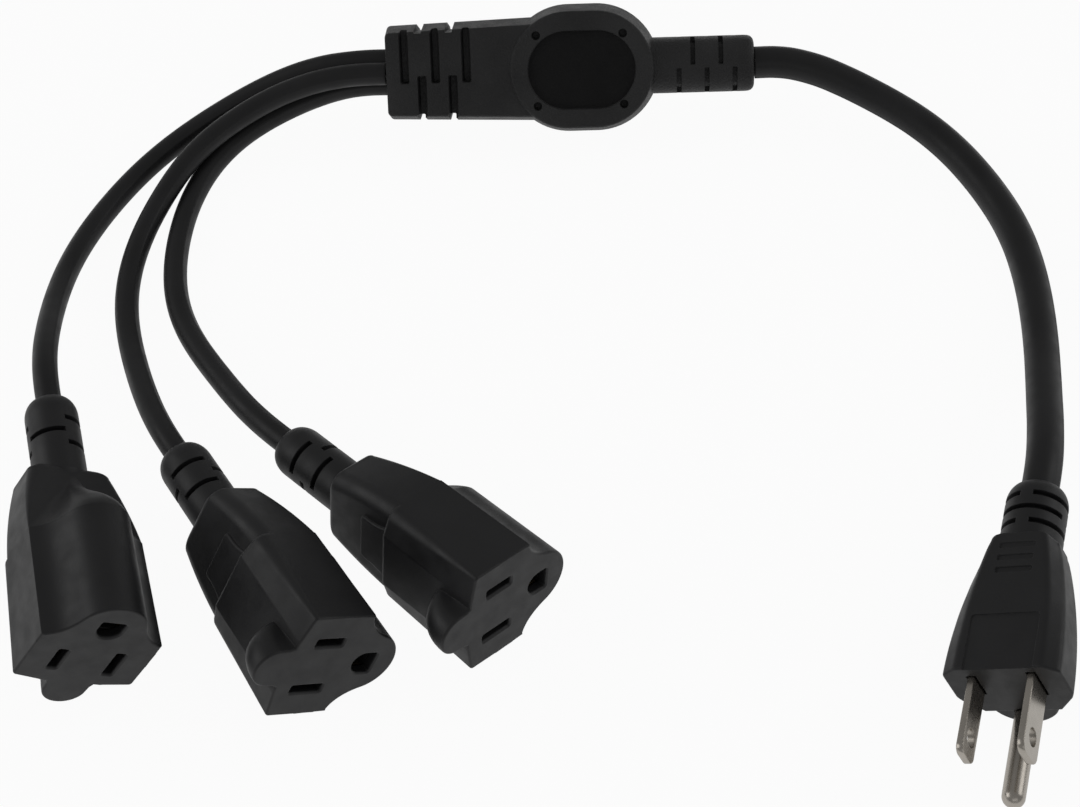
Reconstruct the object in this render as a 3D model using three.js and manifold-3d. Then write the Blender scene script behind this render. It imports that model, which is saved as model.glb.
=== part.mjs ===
// A power cord splitter: one grounded plug, a feed cord, a moulded splitter block,
// three branch cords and three grounded receptacles, lying on a table.
// Millimetres, +Z up, table at z = 0. X runs along the block, -Y is the viewer's side.

import * as THREE from 'three';
import { mergeVertices } from 'three/addons/utils/BufferGeometryUtils.js';
import Module from 'manifold-3d';

const wasm = await Module();
wasm.setup();

// Clearances
const SEAT_GAP = 0.3;

// Blade and pin pattern shared by the plug and the receptacles
const BLADE_OFFSET = 6.35;
const GROUND_OFFSET = 11.9;

// Cords
const FEED_DIAMETER = 8.0;
const BRANCH_DIAMETER = 5.8;
const CORD_SIDES = 10;
const CORD_STEP_IN_DIAMETERS = 2.2;

// Receptacle face outline
const FACE_HALF_WIDTH = 13.5;
const FACE_CORNER_TOP = 8.3;
const FACE_BAND_BOTTOM = 8.2;
const FACE_CORNER_BOTTOM = 7.1;
const BAND_HALF_WIDTH = 7;
const GROUND_LOBE_CENTRE = 12.2;
const GROUND_LOBE_RADIUS = 7.6;
const KEY_LOBE_CENTRE = 11.0;
const KEY_LOBE_RADIUS = 4.8;
const KEY_LOBE_LENGTH = 9.5;

// Receptacle lengths, measured back from the face
const FRONT_LENGTH = 26.8;
const BODY_LENGTH = 47.2;
const RECEPTACLE_LENGTH = 68.4;
const SHOULDER_HALF_WIDTH = 9.3;
const SHOULDER_ROUND = 3;
const REAR_TOP = 6.3;
const REAR_BOTTOM = 5.4;
const REAR_CORNER = 3.6;
const REAR_BOTTOM_CORNER = 4.6;
const FRONT_CORNER = 0.7;
const NECK_OFFSET = 0.9;
const TONGUE_LENGTH = 10;
const TONGUE_HALF_WIDTH = 6.2;
const TONGUE_RISE = 0.7;
const HOOD_START = 46;
const HOOD_DROP = 13.5;
const HOOD_BASE = 0;
const LOBE_FILLET_ANGLE = 20;
const LOBE_FILLET_X = 9.2;
const LOBE_FILLET_Y = 9.1;
const SHOULDER_DROP = 1.2;
const CREASE_LENGTH = 0.3;

// Receptacle openings
const SLOT_THICKNESS = 2.0;
const LINE_SLOT_WIDTH = 6.8;
const NEUTRAL_SLOT_WIDTH = 7.8;
const GROUND_HOLE_RADIUS = 2.6;
const FACE_WALL = 2.2;

// Receptacle carrier and contacts
const CARRIER_HALF_WIDTH = 10;
const CARRIER_TOP = 16.2;
const CARRIER_BOTTOM = 5.6;
const CARRIER_DEPTH = 17;
const CARRIER_BOSS_HALF_WIDTH = 4.4;
const CARRIER_SHOULDER = 6.2;
const CONTACT_LENGTH = 12;
const CONTACT_SHEET = 0.5;
const CONTACT_OPENING = 3.2;
const GROUND_CONTACT_OPENING = 5.6;
const LINE_CONTACT_HEIGHT = 5.6;
const NEUTRAL_CONTACT_HEIGHT = 6.6;
const GROUND_CONTACT_HEIGHT = 4.4;

// Strain reliefs
const RELIEF_RADIUS = 6.0;
const RELIEF_ROUND = 4.2;
const RELIEF_SHRINK = 2.4;
const RELIEF_SIDES = 28;
const CORD_BORE_RADIUS = 2.0;
const FEED_BORE_RADIUS = 2.6;
const GROOVE_WIDTH = 1.3;
const GROOVE_DEPTH = 1.5;
const GROOVE_PITCH = 3.55;
const RECEPTACLE_FIRST_GROOVE = 7.7;
const RECEPTACLE_GROOVE_START = 1;
const RECEPTACLE_GROOVE_ARC = 88;
const PLUG_FIRST_GROOVE = 4.6;
const PLUG_GROOVE_START = -78;
const PLUG_GROOVE_ARC = 156;

// Plug body, measured back from its face
const PLUG_LENGTH = 48.2;
const PLUG_BODY_LENGTH = 34.4;
const PLUG_HALF_WIDTH = 12.3;
const PLUG_TOP_HALF_WIDTH = 10.8;
const PLUG_SHOULDER_HALF_WIDTH = 7.6;
const PLUG_SHOULDER_ROUND = 1.6;
const PLUG_SHOULDER_DROP = 1.6;
const PLUG_NECK_OFFSET = 0.7;
const PLUG_TOP = 6.2;
const PLUG_LOBE_RADIUS = 5.0;
const PLUG_LOBE_STRAIGHT = 12;
const PLUG_LOBE_RECESS = 1.8;
const PLUG_PANEL_HALF_WIDTH = 7.2;
const PLUG_PANEL_LENGTH = 13;
const PLUG_PANEL_DEPTH = 0.45;
const PLUG_RIB_HALF_LENGTH = 4.6;
const PLUG_RIB_DEPTH = 0.75;
const PLUG_RIB_WIDTH = 1.0;
const PLUG_RIB_BACKS = [22.5, 26.2, 29.6];

// Plug blades and pin
const BLADE_THICKNESS = 1.5;
const BLADE_PROUD = 17.5;
const BLADE_ROOT = 9;
const LINE_BLADE_WIDTH = 6.35;
const NEUTRAL_BLADE_WIDTH = 7.9;
const BLADE_HOLE_RADIUS = 1.6;
const BLADE_HOLE_OFFSET = 12.2;
const PIN_RADIUS = 2.38;
const PIN_PROUD = 21;
const PIN_ROOT = 9;
const PIN_SIDES = 16;
const BRIDGE_DEPTH = 6;
const BRIDGE_WALL = 2.4;
const BRIDGE_HALF_WIDTH = 9.2;
const BRIDGE_HALF_HEIGHT = 4.4;
const BRIDGE_BOSS_HALF_WIDTH = 3.2;
const BRIDGE_BOSS_TOP = 14.9;

// Splitter block, measured from the middle of its round head
const HEAD_RADIUS = 16.1;
const HEAD_STRAIGHT = 2.1;
const HEAD_HALF_THICKNESS = 8.7;
const DRAFT = 1.4;
const EDGE_ROUND = 0.7;
const PARTING_HALF_BAND = 0.3;
const NECK_END = 50;
const NECK_HALF_WIDTH_OUTER = 12.0;
const NECK_HALF_WIDTH_INNER = 13.4;
const NECK_HALF_THICKNESS = 8.1;
const NECK_SLOT_WIDTH = 1.9;
const NECK_SLOT_DEPTH = 2.4;
const NECK_SLOT_PITCH = 7.95;
const NECK_FIRST_SLOT = 4.2;
const NECK_NOTCH_DEPTH = 0.2;
const FEED_RELIEF_END = 44.2;
const FEED_RELIEF_HALF_WIDTH = 7.1;
const FEED_RELIEF_HALF_THICKNESS = 6.6;
const FEED_SLOT_WIDTH = 1.2;
const FEED_SLOT_PITCH = 3.55;
const FEED_FIRST_SLOT = 25.1;
const PANEL_RADIUS = 10.15;
const PANEL_STRAIGHT = 3.95;
const PANEL_DEPTH = 0.9;
const PIT_RADIUS = 1.0;
const PIT_DEPTH = 1.6;
const PIT_X = 11.0;
const PIT_Y = 8.9;

// Splices inside the block
const SPLICE_RADIUS = 1.9;
const SPLICE_LENGTH = 11;
const SPLICE_SPACING = 5.2;
const CONDUCTOR_BORE_RADIUS = 1.3;

// Branch cord exits from the block's neck: two side by side behind, one in front of them
const EXIT_SPACING = 6.1;
const EXIT_FRONT = 2.7;
const EXIT_BACK = -2.6;

// Places on the table: face centre, compass direction of the axis, lift of the axis and turn about it
const RECEPTACLE_PLACES = [
  { x: -99.2, y: -68.9, yaw: -79.3, pitch: -2.6, roll: -36.9 },
  { x: -50.1, y: -77.2, yaw: -61.8, pitch: 2.7, roll: -126.9 },
  { x: -12.6, y: -67.0, yaw: -48.6, pitch: 3.4, roll: -102.9 },
];
const PLUG_PLACE = { x: 87.9, y: -95.0, yaw: -109.8, pitch: -1.8, roll: 206 };
const BLOCK_PLACE = { x: 18.4, y: 96.1, yaw: -5.2, tilt: 52 };

// Cord routes on the table, chosen by hand from the block outward, in the same frame as the places
const CORD_ROUTES = {
  feed_cord: [
    [62.72, 92.07, 16.65], [67.70, 91.62, 16.65], [72.41, 90.80, 16.20], [79.01, 88.84, 14.77],
    [85.18, 86.14, 12.90], [91.06, 82.87, 11.04], [96.64, 79.05, 9.41], [101.82, 74.60, 8.01],
    [106.45, 69.42, 6.78], [110.45, 63.49, 5.71], [113.79, 56.86, 4.85], [116.51, 49.63, 4.29],
    [118.54, 41.84, 4.05], [119.70, 33.58, 4.05], [119.94, 24.93, 4.29], [119.42, 15.99, 4.90],
    [118.28, 6.78, 5.99], [116.62, -2.72, 7.69], [114.54, -12.46, 9.98], [112.29, -22.18, 12.59],
    [110.13, -31.41, 14.90], [107.94, -39.71, 16.32], [106.31, -44.78, 16.64], [104.62, -49.48, 16.48],
  ],
  branch_cord_1: [
    [-31.34, 104.57, 17.45], [-36.32, 105.02, 17.45], [-41.30, 105.47, 17.09], [-46.66, 105.94, 16.34],
    [-51.99, 106.15, 15.15], [-57.26, 106.00, 13.66], [-62.43, 105.44, 12.00], [-67.47, 104.44, 10.33],
    [-72.40, 103.01, 8.75], [-77.19, 101.15, 7.34], [-81.85, 98.86, 6.13], [-86.34, 96.13, 5.12],
    [-90.64, 92.94, 4.31], [-94.69, 89.28, 3.68], [-98.47, 85.14, 3.23], [-101.96, 80.54, 2.97],
    [-105.15, 75.49, 2.95], [-108.02, 69.99, 3.19], [-110.51, 63.99, 3.73], [-112.55, 57.45, 4.63],
    [-114.04, 50.29, 5.95], [-114.92, 42.44, 7.81], [-115.18, 33.96, 10.26], [-114.91, 25.11, 13.12],
    [-114.25, 16.54, 15.69], [-113.27, 8.93, 17.24], [-112.34, 3.51, 17.65], [-111.41, -1.40, 17.42],
  ],
  branch_cord_2: [
    [-31.89, 98.54, 18.31], [-36.87, 98.99, 18.31], [-41.83, 99.35, 18.04], [-46.41, 99.44, 17.55],
    [-50.95, 99.26, 16.85], [-55.44, 98.73, 15.99], [-59.82, 97.84, 15.03], [-64.08, 96.55, 14.02],
    [-68.20, 94.90, 13.00], [-72.15, 92.88, 12.02], [-75.94, 90.52, 11.09], [-79.52, 87.80, 10.16],
    [-82.82, 84.72, 9.19], [-85.80, 81.28, 8.16], [-88.49, 77.52, 7.12], [-90.93, 73.49, 6.16],
    [-93.14, 69.19, 5.33], [-95.09, 64.61, 4.66], [-96.71, 59.72, 4.15], [-97.94, 54.50, 3.82],
    [-98.71, 48.95, 3.70], [-98.97, 43.09, 3.81], [-98.67, 36.99, 4.17], [-97.84, 30.68, 4.81],
    [-96.57, 24.22, 5.75], [-94.96, 17.67, 6.97], [-93.12, 11.08, 8.41], [-91.09, 4.60, 9.94],
    [-88.90, -1.56, 11.33], [-86.55, -7.22, 12.40], [-84.24, -12.00, 13.01], [-81.88, -16.40, 13.25],
  ],
  branch_cord_3: [
    [-31.68, 100.83, 12.64], [-36.66, 101.28, 12.64], [-41.56, 101.55, 12.27], [-46.79, 101.45, 11.39],
    [-51.93, 100.92, 10.23], [-56.96, 99.95, 8.99], [-61.85, 98.48, 7.81], [-66.54, 96.47, 6.73],
    [-70.95, 93.82, 5.77], [-74.96, 90.46, 4.89], [-78.48, 86.33, 4.12], [-81.44, 81.44, 3.51],
    [-83.79, 75.84, 3.12], [-85.54, 69.69, 2.95], [-86.71, 63.15, 2.95], [-87.36, 56.37, 3.09],
    [-87.43, 49.39, 3.39], [-86.81, 42.28, 3.87], [-85.38, 35.17, 4.53], [-83.17, 28.24, 5.38],
    [-80.37, 21.62, 6.38], [-77.23, 15.31, 7.47], [-73.98, 9.23, 8.59], [-70.70, 3.37, 9.67],
    [-67.35, -2.15, 10.65], [-63.83, -7.19, 11.47], [-60.59, -11.25, 12.00], [-57.29, -14.99, 12.30],
  ],
};

// Materials
function plastic(name, colour, roughness) {
  return new THREE.MeshStandardMaterial({ name, color: colour, roughness, metalness: 0 });
}

function metal(name, colour, roughness) {
  return new THREE.MeshStandardMaterial({ name, color: colour, roughness, metalness: 1 });
}

const blackVinyl = plastic('black_vinyl', 0x1b1b1c, 0.55);
const cordVinyl = plastic('cord_vinyl', 0x161617, 0.4);
const greyCarrier = plastic('grey_carrier', 0x3a3a3c, 0.6);
const nickel = metal('nickel_plate', 0xb9b2a8, 0.25);
const brass = metal('brass_strip', 0xb08d4a, 0.35);

// Solids
function toSolid(geometry) {
  const bare = geometry.clone();
  bare.deleteAttribute('normal');
  bare.deleteAttribute('uv');
  const merged = mergeVertices(bare, 1e-4);
  return new wasm.Manifold(new wasm.Mesh({
    numProp: 3,
    vertProperties: Float32Array.from(merged.attributes.position.array),
    triVerts: Uint32Array.from(merged.index.array),
  }));
}

function toGeometry(solid) {
  const mesh = solid.getMesh();
  const geometry = new THREE.BufferGeometry();
  geometry.setAttribute('position', new THREE.BufferAttribute(mesh.vertProperties, 3));
  geometry.setIndex(new THREE.BufferAttribute(mesh.triVerts, 1));
  geometry.computeVertexNormals();
  return geometry;
}

function joined(geometries) {
  return geometries.map(toSolid).reduce((whole, piece) => whole.add(piece));
}

function cutBy(solid, geometries) {
  return geometries.reduce((rest, tool) => rest.subtract(toSolid(tool)), solid);
}

function part(name, geometry, material) {
  const mesh = new THREE.Mesh(geometry, material);
  mesh.name = name;
  return mesh;
}

// A closed skin over outlines of equal point count, each {points, z}, given from low z to high z
function loft(sections) {
  const count = sections[0].points.length;
  const positions = [];
  for (const section of sections) {
    for (const point of section.points) {
      positions.push(point.x, point.y, section.z);
    }
  }
  const index = [];
  for (let s = 0; s + 1 < sections.length; s += 1) {
    for (let i = 0; i < count; i += 1) {
      const a = s * count + i;
      const b = s * count + (i + 1) % count;
      index.push(a, b, b + count, a, b + count, a + count);
    }
  }
  const last = (sections.length - 1) * count;
  for (const [i, j, k] of THREE.ShapeUtils.triangulateShape(sections[0].points, [])) {
    index.push(i, k, j);
  }
  for (const [i, j, k] of THREE.ShapeUtils.triangulateShape(sections.at(-1).points, [])) {
    index.push(last + i, last + j, last + k);
  }
  const geometry = new THREE.BufferGeometry();
  geometry.setAttribute('position', new THREE.Float32BufferAttribute(positions, 3));
  geometry.setIndex(index);
  return geometry;
}

function arcPoints(x, y, radius, from, to, steps) {
  const points = [];
  for (let i = 0; i <= steps; i += 1) {
    const angle = THREE.MathUtils.degToRad(from + (to - from) * i / steps);
    points.push(new THREE.Vector2(x + radius * Math.cos(angle), y + radius * Math.sin(angle)));
  }
  return points;
}

function boxBetween(x0, x1, y0, y1, z0, z1) {
  const box = new THREE.BoxGeometry(x1 - x0, y1 - y0, z1 - z0);
  return box.translate((x0 + x1) / 2, (y0 + y1) / 2, (z0 + z1) / 2);
}

// A rod along Z
function rod(x, y, radius, z0, z1, sides) {
  const geometry = new THREE.CylinderGeometry(radius, radius, z1 - z0, sides);
  return geometry.rotateX(Math.PI / 2).translate(x, y, (z0 + z1) / 2);
}

function extruded(points, z0, z1) {
  const geometry = new THREE.ExtrudeGeometry(new THREE.Shape(points), {
    depth: z1 - z0,
    bevelEnabled: false,
  });
  return geometry.translate(0, 0, z0);
}

// An outline with round ends along X, centred on the origin
function stadium(straight, radius, steps) {
  return [
    ...arcPoints(straight, 0, radius, -90, 90, steps),
    ...arcPoints(-straight, 0, radius, 90, 270, steps),
  ];
}

// How far a rounded shoulder still has to rise at z: one at its start, none at its end
function shoulder(z, length, round) {
  const t = THREE.MathUtils.clamp((z + length) / round, 0, 1);
  return 1 - Math.sqrt(1 - (1 - t) ** 2);
}

// A turned strain relief along Z, centred on y, with a rounded cord end at z = back
function relief(y, radius, back, front) {
  const profile = [new THREE.Vector2(0, back)];
  for (let i = 0; i <= 4; i += 1) {
    const angle = Math.PI / 2 * i / 4;
    profile.push(new THREE.Vector2(
      radius - RELIEF_SHRINK * (1 - Math.sin(angle)),
      back + RELIEF_ROUND * (1 - Math.cos(angle)),
    ));
  }
  profile.push(new THREE.Vector2(radius, front));
  profile.push(new THREE.Vector2(0, front));
  return new THREE.LatheGeometry(profile, RELIEF_SIDES).rotateX(Math.PI / 2).translate(0, y, 0);
}

// One groove that runs part of the way round a strain relief
function grooveArc(y, radius, z, from, to) {
  const steps = Math.ceil((to - from) / 15);
  const outer = arcPoints(0, y, radius + 1.5, from, to, steps);
  const inner = arcPoints(0, y, radius - GROOVE_DEPTH, to, from, steps);
  return extruded([...outer, ...inner], z - GROOVE_WIDTH / 2, z + GROOVE_WIDTH / 2);
}

// Receptacle
function receptacleHalfWidth(z) {
  const shoulderEnd = -(BODY_LENGTH - SHOULDER_ROUND);
  const rise = SHOULDER_HALF_WIDTH - RELIEF_RADIUS + 0.1;
  const t = THREE.MathUtils.clamp((z - shoulderEnd) / (-FRONT_LENGTH - shoulderEnd), 0, 1);
  return SHOULDER_HALF_WIDTH + (FACE_HALF_WIDTH - SHOULDER_HALF_WIDTH) * (1 - (1 - t) ** 1.55)
    - rise * shoulder(z, BODY_LENGTH, SHOULDER_ROUND);
}

function rearHeight(z, full) {
  return full - SHOULDER_DROP * shoulder(z, BODY_LENGTH, SHOULDER_ROUND);
}

function bodySection(z) {
  const front = z > -FRONT_LENGTH;
  const half = receptacleHalfWidth(z);
  const corner = front ? FRONT_CORNER : Math.min(REAR_CORNER, half - 2.5);
  const low = front ? FRONT_CORNER : Math.min(REAR_BOTTOM_CORNER, half - 2.5);
  const top = rearHeight(z, REAR_TOP);
  const bottom = front ? FACE_CORNER_BOTTOM : rearHeight(z, REAR_BOTTOM);
  const band = front ? FACE_BAND_BOTTOM : bottom;
  const bandHalf = Math.min(BAND_HALF_WIDTH, half - low - 0.2);
  return [
    ...arcPoints(half - low, low - bottom, low, -90, 0, 3),
    ...arcPoints(half - corner, top - corner, corner, 0, 90, 3),
    ...arcPoints(corner - half, top - corner, corner, 90, 180, 3),
    ...arcPoints(low - half, low - bottom, low, 180, 270, 3),
    new THREE.Vector2(-bandHalf, -band),
    new THREE.Vector2(bandHalf, -band),
  ];
}

function hoodSection(z) {
  const rise = THREE.MathUtils.clamp((-z - FRONT_LENGTH) / (HOOD_START - FRONT_LENGTH), 0, 1);
  const drop = HOOD_DROP * Math.sin(rise * Math.PI / 2);
  const half = receptacleHalfWidth(z);
  const edge = THREE.MathUtils.degToRad(LOBE_FILLET_ANGLE);
  const fillet = new THREE.QuadraticBezierCurve(
    new THREE.Vector2(half, FACE_CORNER_TOP),
    new THREE.Vector2(LOBE_FILLET_X, LOBE_FILLET_Y),
    new THREE.Vector2(
      GROUND_LOBE_RADIUS * Math.cos(edge),
      GROUND_LOBE_CENTRE + GROUND_LOBE_RADIUS * Math.sin(edge),
    ),
  ).getPoints(5);
  const lobe = arcPoints(
    0, GROUND_LOBE_CENTRE, GROUND_LOBE_RADIUS, LOBE_FILLET_ANGLE, 180 - LOBE_FILLET_ANGLE, 10,
  ).slice(1, -1);
  const mirrored = fillet.map((p) => new THREE.Vector2(-p.x, p.y)).reverse();
  const outline = [...fillet, ...lobe, ...mirrored].map((p) => new THREE.Vector2(
    p.x, Math.max(p.y - drop, HOOD_BASE + 0.2),
  ));
  return [new THREE.Vector2(-half, HOOD_BASE), new THREE.Vector2(half, HOOD_BASE), ...outline];
}

function keyLobe() {
  const run = [
    [-KEY_LOBE_LENGTH, 0.3],
    [-KEY_LOBE_LENGTH * 0.75, 0.72],
    [-KEY_LOBE_LENGTH * 0.5, 0.95],
    [-KEY_LOBE_LENGTH * 0.25, 1],
    [0, 1],
  ];
  return loft(run.map(([z, share]) => ({
    z,
    points: [
      new THREE.Vector2(-KEY_LOBE_RADIUS, -2),
      ...arcPoints(0, -KEY_LOBE_CENTRE * share, KEY_LOBE_RADIUS, 180, 360, 10),
      new THREE.Vector2(KEY_LOBE_RADIUS, -2),
    ],
  })));
}

function tongue() {
  const outline = [
    new THREE.Vector2(-TONGUE_HALF_WIDTH, -FRONT_LENGTH + 1),
    ...arcPoints(0, -FRONT_LENGTH - TONGUE_LENGTH + TONGUE_HALF_WIDTH, TONGUE_HALF_WIDTH, 180, 360, 10),
    new THREE.Vector2(TONGUE_HALF_WIDTH, -FRONT_LENGTH + 1),
  ];
  return extruded(outline, REAR_BOTTOM - 2, REAR_BOTTOM + TONGUE_RISE).rotateX(Math.PI / 2);
}

function carrierOutline(grow) {
  const side = CARRIER_HALF_WIDTH + grow;
  const boss = CARRIER_BOSS_HALF_WIDTH + grow;
  return [
    new THREE.Vector2(-side, -CARRIER_BOTTOM - grow),
    new THREE.Vector2(side, -CARRIER_BOTTOM - grow),
    new THREE.Vector2(side, CARRIER_SHOULDER + grow),
    new THREE.Vector2(boss, CARRIER_SHOULDER + grow),
    new THREE.Vector2(boss, CARRIER_TOP + grow),
    new THREE.Vector2(-boss, CARRIER_TOP + grow),
    new THREE.Vector2(-boss, CARRIER_SHOULDER + grow),
    new THREE.Vector2(-side, CARRIER_SHOULDER + grow),
  ];
}

const CONTACTS = [
  { name: 'line', x: -BLADE_OFFSET, y: 0, opening: CONTACT_OPENING, height: LINE_CONTACT_HEIGHT },
  { name: 'neutral', x: BLADE_OFFSET, y: 0, opening: CONTACT_OPENING, height: NEUTRAL_CONTACT_HEIGHT },
  {
    name: 'ground', x: 0, y: GROUND_OFFSET, opening: GROUND_CONTACT_OPENING,
    height: GROUND_CONTACT_HEIGHT,
  },
];

function receptacleOvermould() {
  const run = BODY_LENGTH - SHOULDER_ROUND - FRONT_LENGTH;
  const curve = [0, 0.1333333, 0.4].map((t) => t * SHOULDER_ROUND - BODY_LENGTH);
  const rear = [1, 0.873563, 0.701149, 0.528736, 0.356322, 0.183908, 0].map((t) => -t * run - FRONT_LENGTH);
  const front = [...rear, CREASE_LENGTH - FRONT_LENGTH, 0];
  const body = loft([...curve, ...front].map((z) => ({ z, points: bodySection(z) })));
  const hood = loft(front.map((z) => ({ z, points: hoodSection(z) })));
  const neck = relief(NECK_OFFSET, RELIEF_RADIUS, -RECEPTACLE_LENGTH, -BODY_LENGTH + SHOULDER_ROUND);
  const pocketBack = -FACE_WALL - CARRIER_DEPTH - 2 * SEAT_GAP;
  const groundHole = [
    ...arcPoints(0, GROUND_OFFSET - 0.2, GROUND_HOLE_RADIUS, 180, 360, 8),
    new THREE.Vector2(GROUND_HOLE_RADIUS, GROUND_OFFSET + GROUND_HOLE_RADIUS - 0.3),
    new THREE.Vector2(-GROUND_HOLE_RADIUS, GROUND_OFFSET + GROUND_HOLE_RADIUS - 0.3),
  ];
  const halfSlot = SLOT_THICKNESS / 2;
  const tools = [
    extruded(carrierOutline(SEAT_GAP), pocketBack, -FACE_WALL),
    boxBetween(-BLADE_OFFSET - halfSlot, -BLADE_OFFSET + halfSlot,
      -LINE_SLOT_WIDTH / 2, LINE_SLOT_WIDTH / 2, -FACE_WALL - 1, 1),
    boxBetween(BLADE_OFFSET - halfSlot, BLADE_OFFSET + halfSlot,
      -NEUTRAL_SLOT_WIDTH / 2, NEUTRAL_SLOT_WIDTH / 2, -FACE_WALL - 1, 1),
    extruded(groundHole, -FACE_WALL - 1, 1),
    rod(0, NECK_OFFSET, CORD_BORE_RADIUS, -RECEPTACLE_LENGTH - 1, pocketBack + 1, 8),
  ];
  for (let row = 0; row < 3; row += 1) {
    const z = -RECEPTACLE_LENGTH + RECEPTACLE_FIRST_GROOVE + row * GROOVE_PITCH;
    for (const turn of row % 2 === 0 ? [0, 180] : [90, 270]) {
      const start = turn + RECEPTACLE_GROOVE_START;
      tools.push(grooveArc(NECK_OFFSET, RELIEF_RADIUS, z, start, start + RECEPTACLE_GROOVE_ARC));
    }
  }
  return cutBy(joined([body, hood, keyLobe(), tongue(), neck]), tools);
}

function contactGeometry(contact) {
  const half = contact.opening / 2;
  const outer = half + CONTACT_SHEET;
  const front = -FACE_WALL - 2 * SEAT_GAP;
  const back = front - CONTACT_LENGTH;
  const y0 = contact.y - contact.height / 2;
  const y1 = contact.y + contact.height / 2;
  return toGeometry(joined([
    boxBetween(contact.x - outer, contact.x - half, y0, y1, back, front),
    boxBetween(contact.x + half, contact.x + outer, y0, y1, back, front),
    boxBetween(contact.x - outer, contact.x + outer, y0, y1, back, back + CONTACT_SHEET),
  ]));
}

function carrierGeometry() {
  const front = -FACE_WALL - SEAT_GAP;
  const back = front - CARRIER_DEPTH;
  const chambers = CONTACTS.flatMap((contact) => {
    const half = contact.opening / 2 + CONTACT_SHEET + SEAT_GAP;
    const reach = contact.height / 2 + SEAT_GAP;
    return [
      boxBetween(contact.x - half, contact.x + half, contact.y - reach, contact.y + reach,
        front - CONTACT_LENGTH - 2 * SEAT_GAP, 0),
      rod(contact.x, contact.y, 1, back - 1, front - CONTACT_LENGTH, 8),
    ];
  });
  return toGeometry(cutBy(toSolid(extruded(carrierOutline(0), back, front)), chambers));
}

// Turns a group so that its local Z points along yaw and pitch and its local Y is rolled from up
function aim(group, place) {
  const yaw = THREE.MathUtils.degToRad(place.yaw);
  const pitch = THREE.MathUtils.degToRad(place.pitch);
  const roll = THREE.MathUtils.degToRad(place.roll);
  const out = new THREE.Vector3(
    Math.cos(pitch) * Math.cos(yaw), Math.cos(pitch) * Math.sin(yaw), Math.sin(pitch),
  );
  const side = new THREE.Vector3(-Math.sin(yaw), Math.cos(yaw), 0);
  const up = new THREE.Vector3().crossVectors(out, side);
  const x = side.clone().multiplyScalar(Math.cos(roll)).addScaledVector(up, Math.sin(roll));
  const y = side.clone().multiplyScalar(-Math.sin(roll)).addScaledVector(up, Math.cos(roll));
  group.quaternion.setFromRotationMatrix(new THREE.Matrix4().makeBasis(x, y, out));
  group.position.set(place.x, place.y, 0);
}

// Lowers or lifts a group until its lowest point lies on the table
function layDown(group) {
  group.updateMatrixWorld(true);
  const box = new THREE.Box3().setFromObject(group, true);
  group.position.z -= box.min.z;
  group.updateMatrixWorld(true);
}

function buildReceptacles() {
  const overmould = toGeometry(receptacleOvermould());
  const carrier = carrierGeometry();
  return RECEPTACLE_PLACES.map((place, i) => {
    const group = new THREE.Group();
    group.add(part(`receptacle_${i + 1}_overmould`, overmould, blackVinyl));
    group.add(part(`receptacle_${i + 1}_carrier`, carrier, greyCarrier));
    for (const contact of CONTACTS) {
      group.add(part(`receptacle_${i + 1}_${contact.name}_contact`, contactGeometry(contact), brass));
    }
    aim(group, place);
    layDown(group);
    return group;
  });
}

// Plug
function plugHalfWidth(z) {
  const run = PLUG_BODY_LENGTH - PLUG_SHOULDER_ROUND;
  const u = THREE.MathUtils.clamp((z + run) / run, 0, 1);
  const spread = (PLUG_HALF_WIDTH - PLUG_SHOULDER_HALF_WIDTH) * Math.sin(u * Math.PI / 2) ** 0.8;
  const drop = PLUG_SHOULDER_DROP * shoulder(z, PLUG_BODY_LENGTH, PLUG_SHOULDER_ROUND);
  return PLUG_SHOULDER_HALF_WIDTH + spread - drop;
}

function plugSection(z) {
  const half = plugHalfWidth(z);
  const share = half / PLUG_HALF_WIDTH;
  const topHalf = half - (PLUG_HALF_WIDTH - PLUG_TOP_HALF_WIDTH);
  const top = PLUG_TOP - 0.6 * (1 - share);
  return [
    new THREE.Vector2(topHalf - 0.5, -top),
    new THREE.Vector2(topHalf, -top + 0.3),
    new THREE.Vector2(half, -4.2 * share),
    new THREE.Vector2(half, 4.5 * share),
    new THREE.Vector2(half - 0.7, 6 * share),
    new THREE.Vector2(half * 0.55, 9 * share),
    new THREE.Vector2(-half * 0.55, 9 * share),
    new THREE.Vector2(0.7 - half, 6 * share),
    new THREE.Vector2(-half, 4.5 * share),
    new THREE.Vector2(-half, -4.2 * share),
    new THREE.Vector2(-topHalf, -top + 0.3),
    new THREE.Vector2(0.5 - topHalf, -top),
  ];
}

// The ground lobe, straight behind the face and then sinking into the body
function plugLobe() {
  const run = PLUG_BODY_LENGTH - 0.4 - PLUG_LOBE_STRAIGHT;
  const slope = [0.954545, 0.863636, 0.727273, 0.545455, 0.363636, 0.181818, 0];
  const stations = [...slope.map((t) => -PLUG_LOBE_STRAIGHT - t * run), -PLUG_LOBE_RECESS];
  return loft(stations.map((z) => {
    const fall = Math.max(-z - PLUG_LOBE_STRAIGHT, 0) / run;
    const centre = GROUND_OFFSET - 8.5 * fall ** 1.6;
    return {
      z,
      points: [
        new THREE.Vector2(-PLUG_LOBE_RADIUS, -2),
        new THREE.Vector2(PLUG_LOBE_RADIUS, -2),
        ...arcPoints(0, centre, PLUG_LOBE_RADIUS, 0, 180, 10),
      ],
    };
  }));
}

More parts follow.
